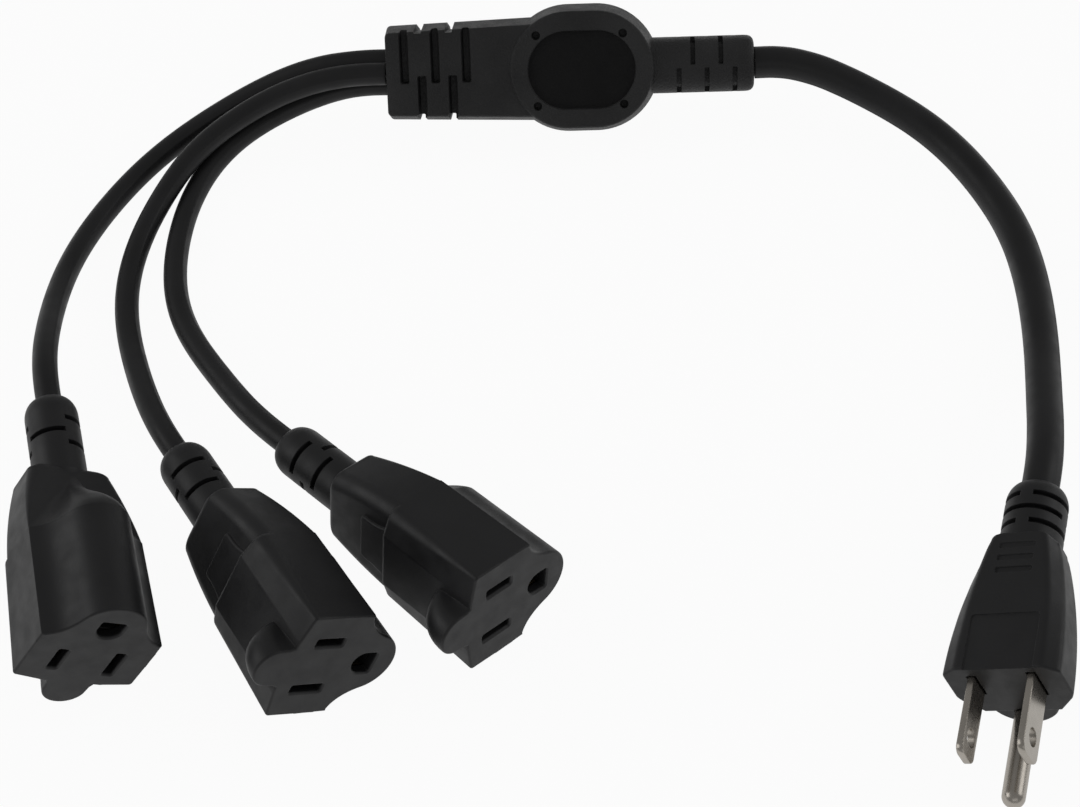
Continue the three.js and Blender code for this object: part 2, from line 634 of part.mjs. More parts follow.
function bridgeOutline(grow) {
  const side = BRIDGE_HALF_WIDTH + grow;
  const boss = BRIDGE_BOSS_HALF_WIDTH + grow;
  return [
    new THREE.Vector2(-side, -BRIDGE_HALF_HEIGHT - grow),
    new THREE.Vector2(side, -BRIDGE_HALF_HEIGHT - grow),
    new THREE.Vector2(side, BRIDGE_HALF_HEIGHT + grow),
    new THREE.Vector2(boss, BRIDGE_HALF_HEIGHT + grow),
    new THREE.Vector2(boss, BRIDGE_BOSS_TOP + grow),
    new THREE.Vector2(-boss, BRIDGE_BOSS_TOP + grow),
    new THREE.Vector2(-boss, BRIDGE_HALF_HEIGHT + grow),
    new THREE.Vector2(-side, BRIDGE_HALF_HEIGHT + grow),
  ];
}

const BLADES = [
  { name: 'plug_line_blade', x: BLADE_OFFSET, width: LINE_BLADE_WIDTH },
  { name: 'plug_neutral_blade', x: -BLADE_OFFSET, width: NEUTRAL_BLADE_WIDTH },
];

// The clearance holes that the blades and the pin pass through
function bladeHoles(front) {
  const halfThick = BLADE_THICKNESS / 2 + SEAT_GAP;
  return [
    ...BLADES.map((blade) => boxBetween(blade.x - halfThick, blade.x + halfThick,
      -blade.width / 2 - SEAT_GAP, blade.width / 2 + SEAT_GAP, -BLADE_ROOT - SEAT_GAP, front)),
    rod(0, GROUND_OFFSET, PIN_RADIUS + SEAT_GAP, -PIN_ROOT - SEAT_GAP, front, PIN_SIDES),
  ];
}

function plugOvermould() {
  const curve = [0, 0.25, 0.625, 1.25, 2.375].map((t) => t * PLUG_SHOULDER_ROUND - PLUG_BODY_LENGTH);
  const run = [0.813953, 0.697674, 0.581395, 0.436047, 0.232558, 0].map((t) => -t * PLUG_BODY_LENGTH);
  const stations = [...curve, ...run];
  const body = loft(stations.map((z) => ({ z, points: plugSection(z) })));
  const neck = relief(PLUG_NECK_OFFSET, RELIEF_RADIUS, -PLUG_LENGTH, -PLUG_BODY_LENGTH + 3);
  const bridgeBack = -BRIDGE_WALL - BRIDGE_DEPTH - 2 * SEAT_GAP;
  const tools = [
    extruded(bridgeOutline(SEAT_GAP), bridgeBack, -BRIDGE_WALL),
    ...bladeHoles(1),
    rod(0, PLUG_NECK_OFFSET, FEED_BORE_RADIUS, -PLUG_LENGTH - 1, bridgeBack + 1, 8),
    boxBetween(-PLUG_PANEL_HALF_WIDTH, PLUG_PANEL_HALF_WIDTH,
      -PLUG_TOP - 1, -PLUG_TOP + PLUG_PANEL_DEPTH, -PLUG_PANEL_LENGTH, -1.2),
  ];
  for (const back of PLUG_RIB_BACKS) {
    tools.push(boxBetween(-PLUG_RIB_HALF_LENGTH, PLUG_RIB_HALF_LENGTH,
      -PLUG_TOP - 1, -PLUG_TOP + PLUG_RIB_DEPTH, -back - PLUG_RIB_WIDTH / 2, -back + PLUG_RIB_WIDTH / 2));
  }
  for (let row = 0; row < 3; row += 1) {
    const z = -PLUG_LENGTH + PLUG_FIRST_GROOVE + row * GROOVE_PITCH;
    for (const turn of row % 2 === 0 ? [0, 180] : [90, 270]) {
      const start = turn + PLUG_GROOVE_START;
      tools.push(grooveArc(PLUG_NECK_OFFSET, RELIEF_RADIUS, z, start, start + PLUG_GROOVE_ARC));
    }
  }
  return cutBy(joined([body, plugLobe(), neck]), tools);
}

function bridgeGeometry() {
  const front = -BRIDGE_WALL - SEAT_GAP;
  const plate = toSolid(extruded(bridgeOutline(0), front - BRIDGE_DEPTH, front));
  return toGeometry(cutBy(plate, bladeHoles(1)));
}

// A flat blade in the X thickness direction with a rounded tip and a cross hole
function bladeGeometry(blade) {
  const half = blade.width / 2;
  const round = half * 0.55;
  const outline = [
    new THREE.Vector2(half, -BLADE_ROOT),
    ...arcPoints(half - round, BLADE_PROUD - round, round, 0, 90, 4),
    ...arcPoints(round - half, BLADE_PROUD - round, round, 90, 180, 4),
    new THREE.Vector2(-half, -BLADE_ROOT),
  ];
  const plate = extruded(outline, -BLADE_THICKNESS / 2, BLADE_THICKNESS / 2);
  const hole = rod(0, BLADE_HOLE_OFFSET, BLADE_HOLE_RADIUS, -2, 2, 16);
  const flat = toGeometry(toSolid(plate).subtract(toSolid(hole)));
  const turn = new THREE.Matrix4().makeBasis(
    new THREE.Vector3(0, 1, 0), new THREE.Vector3(0, 0, 1), new THREE.Vector3(1, 0, 0),
  );
  return flat.applyMatrix4(turn).translate(blade.x, 0, 0);
}

function pinGeometry() {
  const profile = [
    new THREE.Vector2(0, -PIN_ROOT),
    new THREE.Vector2(PIN_RADIUS, -PIN_ROOT),
    ...arcPoints(0, PIN_PROUD - PIN_RADIUS, PIN_RADIUS, 0, 90, 6),
  ];
  profile.at(-1).x = 0;
  return new THREE.LatheGeometry(profile, PIN_SIDES).rotateX(Math.PI / 2)
    .translate(0, GROUND_OFFSET, 0);
}

function buildPlug() {
  const group = new THREE.Group();
  group.add(part('plug_overmould', toGeometry(plugOvermould()), blackVinyl));
  group.add(part('plug_bridge', bridgeGeometry(), greyCarrier));
  for (const blade of BLADES) {
    group.add(part(blade.name, bladeGeometry(blade), nickel));
  }
  group.add(part('plug_ground_pin', pinGeometry(), nickel));
  aim(group, PLUG_PLACE);
  layDown(group);
  return group;
}

// Splitter block
function draftedLoft(halfThickness, outline) {
  const steps = [
    [halfThickness, DRAFT + EDGE_ROUND],
    [halfThickness - EDGE_ROUND * 0.3, DRAFT + EDGE_ROUND * 0.3],
    [halfThickness - EDGE_ROUND, DRAFT],
    [PARTING_HALF_BAND, 0],
  ];
  const below = steps.map(([z, inset]) => ({ z: -z, points: outline(inset) }));
  const above = steps.map(([z, inset]) => ({ z, points: outline(inset) })).reverse();
  return loft([...below, ...above]);
}

function neckOutline(inset) {
  const outer = NECK_HALF_WIDTH_OUTER - inset;
  const inner = NECK_HALF_WIDTH_INNER - inset;
  const end = -NECK_END + inset * 0.5;
  const corner = 1.2;
  return [
    ...arcPoints(end + corner, corner - outer, corner, 180, 270, 3),
    new THREE.Vector2(-4, -inner),
    new THREE.Vector2(-4, inner),
    ...arcPoints(end + corner, outer - corner, corner, 90, 180, 3),
  ];
}

function superellipse(halfWidth, halfHeight, from, to, steps) {
  const points = [];
  for (let i = 0; i <= steps; i += 1) {
    const angle = THREE.MathUtils.degToRad(from + (to - from) * i / steps);
    const c = Math.cos(angle);
    const s = Math.sin(angle);
    points.push(new THREE.Vector2(
      halfWidth * Math.sign(c) * Math.abs(c) ** 0.75,
      halfHeight * Math.sign(s) * Math.abs(s) ** 0.75,
    ));
  }
  return points;
}

// The feed strain relief's outline with local X across the thickness, so that Z becomes the block's X
function feedReliefOutline(inset) {
  return superellipse(
    FEED_RELIEF_HALF_THICKNESS - inset, FEED_RELIEF_HALF_WIDTH - inset, 0, 360, 24,
  ).slice(0, -1);
}

function alongBlock(geometry) {
  return geometry.rotateY(Math.PI / 2);
}

function feedRelief() {
  const stations = [[8, 0], [FEED_RELIEF_END - 3, 0], [FEED_RELIEF_END - 1.2, 0.35],
    [FEED_RELIEF_END - 0.3, 0.9], [FEED_RELIEF_END, 1.6]];
  return alongBlock(loft(stations.map(([z, inset]) => ({ z, points: feedReliefOutline(inset) }))));
}

function feedSlot(x, from, to) {
  const outer = arcPoints(0, 0, FEED_RELIEF_HALF_WIDTH + 3, from, to, 8);
  const inner = superellipse(
    FEED_RELIEF_HALF_THICKNESS - GROOVE_DEPTH, FEED_RELIEF_HALF_WIDTH - GROOVE_DEPTH, to, from, 8,
  );
  return alongBlock(extruded([...outer, ...inner], x - FEED_SLOT_WIDTH / 2, x + FEED_SLOT_WIDTH / 2));
}

// One slot across the neck's face, turned over for the back face by side = -1
function neckSlot(x, y0, y1, side) {
  const half = NECK_SLOT_WIDTH / 2;
  const floor = NECK_HALF_THICKNESS - NECK_SLOT_DEPTH;
  const ys = [y0 * side, y1 * side].sort((a, b) => a - b);
  const zs = [floor * side, (NECK_HALF_THICKNESS + 2) * side].sort((a, b) => a - b);
  return boxBetween(x - half, x + half, ys[0], ys[1], zs[0], zs[1]);
}

function neckSideNotch(x, side) {
  const half = NECK_SLOT_WIDTH / 2;
  const reach = NECK_HALF_WIDTH_INNER + 2;
  const floor = NECK_HALF_WIDTH_OUTER - DRAFT - NECK_NOTCH_DEPTH;
  const ys = side > 0 ? [floor, reach] : [-reach, -floor];
  return boxBetween(x - half, x + half, ys[0], ys[1], -NECK_HALF_THICKNESS - 1, NECK_HALF_THICKNESS + 1);
}

const EXITS = [
  { y: EXIT_SPACING / 2, z: EXIT_BACK },
  { y: 0, z: EXIT_FRONT },
  { y: -EXIT_SPACING / 2, z: EXIT_BACK },
];

function blockOvermould() {
  const head = draftedLoft(HEAD_HALF_THICKNESS, (inset) => stadium(HEAD_STRAIGHT, HEAD_RADIUS - inset, 14));
  const neck = draftedLoft(NECK_HALF_THICKNESS, neckOutline);
  const tools = [];
  for (const side of [1, -1]) {
    const face = HEAD_HALF_THICKNESS * side;
    const floor = (HEAD_HALF_THICKNESS - PANEL_DEPTH) * side;
    const panelEnds = [floor, face + side].sort((a, b) => a - b);
    tools.push(extruded(stadium(PANEL_STRAIGHT, PANEL_RADIUS, 12), panelEnds[0], panelEnds[1]));
    const pitEnds = [(HEAD_HALF_THICKNESS - PIT_DEPTH) * side, face + side].sort((a, b) => a - b);
    for (const x of [-PIT_X, PIT_X]) {
      for (const y of [-PIT_Y, PIT_Y]) {
        tools.push(rod(x, y, PIT_RADIUS, pitEnds[0], pitEnds[1], 12));
      }
    }
    for (let i = 0; i < 3; i += 1) {
      const x = -NECK_END + NECK_FIRST_SLOT + i * NECK_SLOT_PITCH;
      tools.push(neckSlot(x, -2.2, NECK_HALF_WIDTH_OUTER - DRAFT, side));
    }
    for (let i = 0; i < 2; i += 1) {
      const x = -NECK_END + NECK_FIRST_SLOT + (i + 0.5) * NECK_SLOT_PITCH + 0.4;
      tools.push(neckSlot(x, -0.6, -NECK_HALF_WIDTH_INNER - 2, side));
      tools.push(neckSideNotch(x, side));
    }
    const turn = side > 0 ? 0 : 180;
    for (let i = 0; i < 2; i += 1) {
      tools.push(feedSlot(FEED_FIRST_SLOT + (2 * i + 1) * FEED_SLOT_PITCH, turn + 2, turn + 88));
    }
    for (let i = 0; i < 3; i += 1) {
      tools.push(feedSlot(FEED_FIRST_SLOT + 2 * i * FEED_SLOT_PITCH, turn - 88, turn - 2));
    }
  }
  const pocket = SPLICE_RADIUS + SEAT_GAP;
  const pocketHalf = SPLICE_LENGTH / 2 + SEAT_GAP;
  for (const y of [-SPLICE_SPACING, 0, SPLICE_SPACING]) {
    tools.push(boxBetween(-pocketHalf, pocketHalf, y - pocket, y + pocket, -pocket, pocket));
  }
  const reach = SPLICE_SPACING + pocket;
  tools.push(boxBetween(pocketHalf - 0.5, pocketHalf + 3, -reach, reach, -pocket, pocket));
  tools.push(alongBlock(rod(0, 0, FEED_BORE_RADIUS, pocketHalf + 2, FEED_RELIEF_END + 1, 8)));
  for (const exit of EXITS) {
    const bore = rod(0, 0, CONDUCTOR_BORE_RADIUS, -NECK_END - 1, 1 - pocketHalf, 8);
    tools.push(alongBlock(bore).translate(0, exit.y, exit.z));
  }
  return cutBy(joined([head, neck, feedRelief()]), tools);
}

function buildBlock() {
  const group = new THREE.Group();
  group.add(part('splitter_overmould', toGeometry(blockOvermould()), blackVinyl));
  const names = ['splice_line', 'splice_neutral', 'splice_ground'];
  names.forEach((name, i) => {
    const barrel = rod(0, 0, SPLICE_RADIUS, -SPLICE_LENGTH / 2, SPLICE_LENGTH / 2, 12);
    group.add(part(name, alongBlock(barrel).translate(0, (i - 1) * SPLICE_SPACING, 0), brass));
  });
  group.rotation.set(
    THREE.MathUtils.degToRad(BLOCK_PLACE.tilt), 0, THREE.MathUtils.degToRad(BLOCK_PLACE.yaw), 'ZYX',
  );
  group.position.set(BLOCK_PLACE.x, BLOCK_PLACE.y, 0);
  layDown(group);
  return group;
}

// Cords
function cordGeometry(points, diameter) {
  const path = new THREE.CatmullRomCurve3(points.map((p) => new THREE.Vector3(...p)), false, 'centripetal');
  const steps = Math.ceil(path.getLength() / (CORD_STEP_IN_DIAMETERS * diameter));
  const section = new THREE.Shape(arcPoints(0, 0, diameter / 2, 0, 360, CORD_SIDES).slice(0, -1));
  return new THREE.ExtrudeGeometry(section, { steps, extrudePath: path, bevelEnabled: false });
}

const rigid = [...buildReceptacles(), buildPlug(), buildBlock()];
const splitter = new THREE.Group();
splitter.add(...rigid);

const footprint = new THREE.Box3();
rigid.forEach((group) => footprint.expandByObject(group, true));
const middle = footprint.getCenter(new THREE.Vector3());
splitter.position.set(-middle.x, -middle.y, 0);

for (const [name, route] of Object.entries(CORD_ROUTES)) {
  const feed = name === 'feed_cord';
  splitter.add(part(name, cordGeometry(route, feed ? FEED_DIAMETER : BRANCH_DIAMETER), cordVinyl));
}
splitter.updateMatrixWorld(true);

export default splitter;
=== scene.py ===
# A power cord splitter on a white table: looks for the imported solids, in metres.
import math

import bpy
from mathutils import Matrix, Vector


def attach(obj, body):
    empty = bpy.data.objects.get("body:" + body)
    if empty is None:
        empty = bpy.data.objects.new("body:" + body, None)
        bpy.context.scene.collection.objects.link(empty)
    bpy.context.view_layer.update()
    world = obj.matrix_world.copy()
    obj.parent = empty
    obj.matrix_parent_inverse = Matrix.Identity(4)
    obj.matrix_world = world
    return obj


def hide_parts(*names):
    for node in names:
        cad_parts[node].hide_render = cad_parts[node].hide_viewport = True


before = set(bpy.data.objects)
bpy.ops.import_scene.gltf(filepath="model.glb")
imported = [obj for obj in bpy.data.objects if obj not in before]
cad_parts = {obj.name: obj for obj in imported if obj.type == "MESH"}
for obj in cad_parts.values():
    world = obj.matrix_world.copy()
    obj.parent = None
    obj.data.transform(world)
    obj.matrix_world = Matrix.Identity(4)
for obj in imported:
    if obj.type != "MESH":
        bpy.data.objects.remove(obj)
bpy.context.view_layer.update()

MM = 0.001

# The layout frame of the places and routes is moved by this much to give the row frame
SHIFT = Vector((4.7499, 1.6604, 0.0))

# Camera, in the layout frame and in millimetres
CAMERA_ELEVATION = 51.3
CAMERA_ROLL = -5.17
CAMERA_DISTANCE = 480.5
CAMERA_FOCAL_PX = 2044.4
IMAGE_WIDTH_PX = 1080
SENSOR_WIDTH = 36.0

# Places on the table: face centre, compass direction and slope of the axis, and turn about it
RECEPTACLE_PLACES = [
    {"x": -99.2, "y": -68.9, "yaw": -79.3, "pitch": -2.6, "roll": -36.9},
    {"x": -50.1, "y": -77.2, "yaw": -61.8, "pitch": 2.7, "roll": -126.9},
    {"x": -12.6, "y": -67.0, "yaw": -48.6, "pitch": 3.4, "roll": -102.9},
]
# Lifts: heights of the face centres, and of the block's centre
RECEPTACLE_LIFTS = [13.5819, 17.0242, 16.5752]
PLUG_PLACE = {"x": 87.9, "y": -95.0, "yaw": -109.8, "pitch": -1.8, "roll": 206}
PLUG_LIFT = 15.5827
BLOCK_PLACE = {"x": 18.4, "y": 96.1, "yaw": -5.2, "tilt": 52}
BLOCK_LIFT = 16.6452

# Cords: radius, and the low lengthwise ridges of the jacket as (angle, width, height)
FEED_RADIUS = 4.0
BRANCH_RADIUS = 2.9
JACKET_SIDES = 72
ROUTE_STEP = 1.2
FEED_RIDGES = [(35, 6, 0.16), (215, 6, 0.16)]
BRANCH_RIDGES = [(30, 8, 0.13), (210, 8, 0.13)]

ROUTES_MM = {
    "feed_cord": [
        (62.72, 92.07, 16.65), (67.70, 91.62, 16.65), (72.41, 90.80, 16.20), (79.01, 88.84, 14.77),
        (85.18, 86.14, 12.90), (91.06, 82.87, 11.04), (96.64, 79.05, 9.41), (101.82, 74.60, 8.01),
        (106.45, 69.42, 6.78), (110.45, 63.49, 5.71), (113.79, 56.86, 4.85), (116.51, 49.63, 4.29),
        (118.54, 41.84, 4.05), (119.70, 33.58, 4.05), (119.94, 24.93, 4.29), (119.42, 15.99, 4.90),
        (118.28, 6.78, 5.99), (116.62, -2.72, 7.69), (114.54, -12.46, 9.98), (112.29, -22.18, 12.59),
        (110.13, -31.41, 14.90), (107.94, -39.71, 16.32), (106.31, -44.78, 16.64), (104.62, -49.48, 16.48),
    ],
    "branch_cord_1": [
        (-31.34, 104.57, 17.45), (-36.32, 105.02, 17.45), (-41.30, 105.47, 17.09), (-46.66, 105.94, 16.34),
        (-51.99, 106.15, 15.15), (-57.26, 106.00, 13.66), (-62.43, 105.44, 12.00), (-67.47, 104.44, 10.33),
        (-72.40, 103.01, 8.75), (-77.19, 101.15, 7.34), (-81.85, 98.86, 6.13), (-86.34, 96.13, 5.12),
        (-90.64, 92.94, 4.31), (-94.69, 89.28, 3.68), (-98.47, 85.14, 3.23), (-101.96, 80.54, 2.97),
        (-105.15, 75.49, 2.95), (-108.02, 69.99, 3.19), (-110.51, 63.99, 3.73), (-112.55, 57.45, 4.63),
        (-114.04, 50.29, 5.95), (-114.92, 42.44, 7.81), (-115.18, 33.96, 10.26), (-114.91, 25.11, 13.12),
        (-114.25, 16.54, 15.69), (-113.27, 8.93, 17.24), (-112.34, 3.51, 17.65), (-111.41, -1.40, 17.42),
    ],
    "branch_cord_2": [
        (-31.89, 98.54, 18.31), (-36.87, 98.99, 18.31), (-41.83, 99.35, 18.04), (-46.41, 99.44, 17.55),
        (-50.95, 99.26, 16.85), (-55.44, 98.73, 15.99), (-59.82, 97.84, 15.03), (-64.08, 96.55, 14.02),
        (-68.20, 94.90, 13.00), (-72.15, 92.88, 12.02), (-75.94, 90.52, 11.09), (-79.52, 87.80, 10.16),
        (-82.82, 84.72, 9.19), (-85.80, 81.28, 8.16), (-88.49, 77.52, 7.12), (-90.93, 73.49, 6.16),
        (-93.14, 69.19, 5.33), (-95.09, 64.61, 4.66), (-96.71, 59.72, 4.15), (-97.94, 54.50, 3.82),
        (-98.71, 48.95, 3.70), (-98.97, 43.09, 3.81), (-98.67, 36.99, 4.17), (-97.84, 30.68, 4.81),
        (-96.57, 24.22, 5.75), (-94.96, 17.67, 6.97), (-93.12, 11.08, 8.41), (-91.09, 4.60, 9.94),
        (-88.90, -1.56, 11.33), (-86.55, -7.22, 12.40), (-84.24, -12.00, 13.01), (-81.88, -16.40, 13.25),
    ],
    "branch_cord_3": [
        (-31.68, 100.83, 12.64), (-36.66, 101.28, 12.64), (-41.56, 101.55, 12.27), (-46.79, 101.45, 11.39),
        (-51.93, 100.92, 10.23), (-56.96, 99.95, 8.99), (-61.85, 98.48, 7.81), (-66.54, 96.47, 6.73),
        (-70.95, 93.82, 5.77), (-74.96, 90.46, 4.89), (-78.48, 86.33, 4.12), (-81.44, 81.44, 3.51),
        (-83.79, 75.84, 3.12), (-85.54, 69.69, 2.95), (-86.71, 63.15, 2.95), (-87.36, 56.37, 3.09),
        (-87.43, 49.39, 3.39), (-86.81, 42.28, 3.87), (-85.38, 35.17, 4.53), (-83.17, 28.24, 5.38),
        (-80.37, 21.62, 6.38), (-77.23, 15.31, 7.47), (-73.98, 9.23, 8.59), (-70.70, 3.37, 9.67),
        (-67.35, -2.15, 10.65), (-63.83, -7.19, 11.47), (-60.59, -11.25, 12.00), (-57.29, -14.99, 12.30),
    ],
}


def add_camera():
    data = bpy.data.cameras.new("camera")
    data.sensor_width = SENSOR_WIDTH
    data.sensor_fit = "HORIZONTAL"
    data.lens = CAMERA_FOCAL_PX / IMAGE_WIDTH_PX * SENSOR_WIDTH
    data.clip_start = 0.01
    data.clip_end = 20.0
    camera = bpy.data.objects.new("camera", data)
    bpy.context.scene.collection.objects.link(camera)
    el = math.radians(CAMERA_ELEVATION)
    roll = math.radians(CAMERA_ROLL)
    forward = Vector((0, math.cos(el), -math.sin(el)))
    level = Vector((1, 0, 0))
    raised = Vector((0, math.sin(el), math.cos(el)))
    right = math.cos(roll) * level + math.sin(roll) * raised
    up = -math.sin(roll) * level + math.cos(roll) * raised
    turn = Matrix((right, up, -forward)).transposed().to_4x4()
    place = (SHIFT - CAMERA_DISTANCE * forward) * MM
    camera.matrix_world = Matrix.Translation(place) @ turn
    bpy.context.scene.camera = camera


# Geometry helpers, all in millimetres
BODY_CREASE = 28.0
METAL_CREASE = 40.0
CORD_CREASE = 60.0
CORNER_STEPS = 4


def arc(x, y, radius, start, end, steps):
    points = []
    for i in range(steps + 1):
        a = math.radians(start + (end - start) * i / steps)
        points.append((x + radius * math.cos(a), y + radius * math.sin(a)))
    return points


def inset(points, amount):
    """Moves a closed counter-clockwise outline inwards by amount."""
    if not amount:
        return list(points)
    count = len(points)
    moved = []
    for i, (x, y) in enumerate(points):
        px, py = points[i - 1]
        nx, ny = points[(i + 1) % count]
        tx, ty = nx - px, ny - py
        size = math.hypot(tx, ty) or 1.0
        moved.append((x - ty / size * amount, y + tx / size * amount))
    return moved


def resample(points, count):
    """Spreads count points evenly round a closed outline."""
    closed = list(points) + [points[0]]
    lengths = [0.0]
    for a, b in zip(closed, closed[1:]):
        lengths.append(lengths[-1] + math.hypot(b[0] - a[0], b[1] - a[1]))
    out = []
    k = 0
    for i in range(count):
        s = lengths[-1] * i / count
        while lengths[k + 1] < s:
            k += 1
        t = (s - lengths[k]) / ((lengths[k + 1] - lengths[k]) or 1.0)
        a, b = closed[k], closed[k + 1]
        out.append((a[0] + (b[0] - a[0]) * t, a[1] + (b[1] - a[1]) * t))
    return out


def mesh_object(name, verts, faces):
    mesh = bpy.data.meshes.new(name)
    mesh.from_pydata(verts, [], faces)
    mesh.validate()
    mesh.update()
    obj = bpy.data.objects.new(name, mesh)
    bpy.context.scene.collection.objects.link(obj)
    return obj


def skin(rings, count):
    """Faces over rings of count points each, with a cap at either end."""
    last = (rings - 1) * count
    faces = []
    for a in range(0, last, count):
        for i in range(count):
            j = (i + 1) % count
            faces.append((a + i, a + j, a + count + j, a + count + i))
    faces.append(tuple(reversed(range(count))))
    faces.append(tuple(range(last, last + count)))
    return faces


def loft(name, sections, place=lambda x, y, z: (x, y, z)):
    """A closed skin over (z, outline) sections of equal point count, from low z to high z."""
    verts = [place(x, y, z) for z, outline in sections for x, y in outline]
    return mesh_object(name, verts, skin(len(sections), len(sections[0][1])))


def prism(name, outline, z0, z1, place=lambda x, y, z: (x, y, z)):
    return loft(name, [(z0, outline), (z1, outline)], place)


def rounded_rect(x, y, half_x, half_y, radius):
    return (
        arc(x + half_x - radius, y - half_y + radius, radius, -90, 0, CORNER_STEPS)
        + arc(x + half_x - radius, y + half_y - radius, radius, 0, 90, CORNER_STEPS)
        + arc(x - half_x + radius, y + half_y - radius, radius, 90, 180, CORNER_STEPS)
        + arc(x - half_x + radius, y - half_y + radius, radius, 180, 270, CORNER_STEPS)
    )


def bend(a, b, c, t):
    """The point at share t of a curve from a to c that leans towards b."""
    return tuple((1 - t) ** 2 * p + 2 * t * (1 - t) * q + t * t * r for p, q, r in zip(a, b, c))


def along_x(x, y, z):
    """Lays a piece built along Z down along X."""
    return (z, y, -x)


def bake_modifiers(obj):
    """Gives the object the mesh that its modifiers make, and removes them."""
    graph = bpy.context.evaluated_depsgraph_get()
    fresh = bpy.data.meshes.new_from_object(obj.evaluated_get(graph))
    obj.modifiers.clear()
    old = obj.data
    obj.data = fresh
    bpy.data.meshes.remove(old)


def boolean(target, tools, operation):
    """Joins the tools to the target or cuts them from it, one by one, and removes them."""
    for tool in tools:
        modifier = target.modifiers.new("boolean", "BOOLEAN")
        modifier.operation = operation
        modifier.solver = "MANIFOLD"
        modifier.object = tool
        bake_modifiers(target)
        used = tool.data
        bpy.data.objects.remove(tool)
        bpy.data.meshes.remove(used)


def finish_mesh(obj, crease=BODY_CREASE):
    """Scales a finished mesh to metres and shades it smooth between its creases."""
    obj.data.transform(Matrix.Scale(MM, 4))
    obj.data.shade_smooth()
    obj.data.set_sharp_from_angle(angle=math.radians(crease))
    modifier = obj.modifiers.new("normals", "WEIGHTED_NORMAL")
    modifier.keep_sharp = True
    modifier.weight = 80
    bake_modifiers(obj)
    return obj


def settle(obj, matrix):
    """Moves a mesh into the row frame, so that its object stays at the origin."""
    obj.data.transform(matrix)
    obj.data.update()


def dress(obj, node, material):
    obj.data.materials.clear()
    obj.data.materials.append(material)
    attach(obj, "root")
    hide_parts(node)


def placed(place, lift):
    """The matrix that puts a piece from its own frame into the row frame."""
    yaw = math.radians(place["yaw"])
    pitch = math.radians(place["pitch"])
    roll = math.radians(place["roll"])
    out = Vector((math.cos(pitch) * math.cos(yaw), math.cos(pitch) * math.sin(yaw), math.sin(pitch)))
    side = Vector((-math.sin(yaw), math.cos(yaw), 0))
    up = out.cross(side)
    x = math.cos(roll) * side + math.sin(roll) * up
    y = -math.sin(roll) * side + math.cos(roll) * up
    turn = Matrix((x, y, out)).transposed().to_4x4()
    point = (Vector((place["x"], place["y"], lift)) + SHIFT) * MM
    return Matrix.Translation(point) @ turn


# Cords
def smooth_line(points, step):
    """A dense centripetal Catmull-Rom line through the points."""
    pts = [Vector(p) for p in points]
    pts = [2 * pts[0] - pts[1]] + pts + [2 * pts[-1] - pts[-2]]
    line = []
    for a, b, c, d in zip(pts, pts[1:], pts[2:], pts[3:]):
        t0 = 0.0
        t1 = t0 + (b - a).length ** 0.5
        t2 = t1 + (c - b).length ** 0.5
        t3 = t2 + (d - c).length ** 0.5
        count = max(1, round((c - b).length / step))
        for i in range(count):
            t = t1 + (t2 - t1) * i / count
            a1 = a * ((t1 - t) / (t1 - t0)) + b * ((t - t0) / (t1 - t0))
            a2 = b * ((t2 - t) / (t2 - t1)) + c * ((t - t1) / (t2 - t1))
            a3 = c * ((t3 - t) / (t3 - t2)) + d * ((t - t2) / (t3 - t2))
            b1 = a1 * ((t2 - t) / (t2 - t0)) + a2 * ((t - t0) / (t2 - t0))
            b2 = a2 * ((t3 - t) / (t3 - t1)) + a3 * ((t - t1) / (t3 - t1))
            line.append(b1 * ((t2 - t) / (t2 - t1)) + b2 * ((t - t1) / (t2 - t1)))
    line.append(pts[-2])
    return line


def jacket_section(radius, ridges):
    """The cord's outline: round, with low lengthwise ridges at the given angles."""
    outline = []
    for i in range(JACKET_SIDES):
        angle = 360.0 * i / JACKET_SIDES
        r = radius
        for centre, width, height in ridges:
            gap = abs((angle - centre + 180) % 360 - 180)
            r += height * math.exp(-((gap / width) ** 2))
        a = math.radians(angle)
        outline.append((r * math.cos(a), r * math.sin(a)))
    return outline


def sweep(name, line, outline, start_up):
    """A closed tube of the outline along the line, with as little twist as the line allows."""
    verts = []
    across = start_up.cross((line[1] - line[0]).normalized()).normalized()
    for k, point in enumerate(line):
        ahead = line[min(k + 1, len(line) - 1)] - line[max(k - 1, 0)]
        tangent = ahead.normalized()
        across = (across - tangent * across.dot(tangent)).normalized()
        upward = tangent.cross(across)
        verts += [point + across * x + upward * y for x, y in outline]
    return mesh_object(name, verts, skin(len(line), len(outline)))


def build_cords(material):
    for name, route in ROUTES_MM.items():
        feed = name == "feed_cord"
        radius = FEED_RADIUS if feed else BRANCH_RADIUS
        ridges = FEED_RIDGES if feed else BRANCH_RIDGES
        line = smooth_line([Vector(p) + SHIFT for p in route], ROUTE_STEP)
        tube = sweep(name + "_jacket", line, jacket_section(radius, ridges), Vector((0, 0, 1)))
        finish_mesh(tube, CORD_CREASE)
        dress(tube, name, material)


# Receptacles, in a frame with Z out of the face and Y towards the ground opening
FRONT_LENGTH = 26.8
BODY_LENGTH = 47.2
RECEPTACLE_LENGTH = 68.4
FACE_HALF_WIDTH = 13.5
FLANK_HALF_WIDTH = 13.1
SHOULDER_HALF_WIDTH = 9.7
SHOULDER_ROUND = 1.8
SHOULDER_TUCK = 3.8
SHOULDER_DROP = 1.2
WAIST_STRAIGHT = 0.38
WAIST_CURVED = 0.62
REAR_TOP = 6.3
REAR_BOTTOM = 6.1
REAR_LOW_CORNER = 3.6
REAR_BOTTOM_FLAT = 2.5
REAR_HIGH_CORNER = 0.3
REAR_HIGH_CORNER_GROWTH = 1.7
FACE_CORNER_TOP = 8.3
FACE_LOW_CORNER = 0.9
LOW_CORNER_GROWTH = 2.5
FRONT_BOTTOM = [(-7.2, -8.05), (-6.8, -8.2), (6.8, -8.2), (7.2, -8.05)]
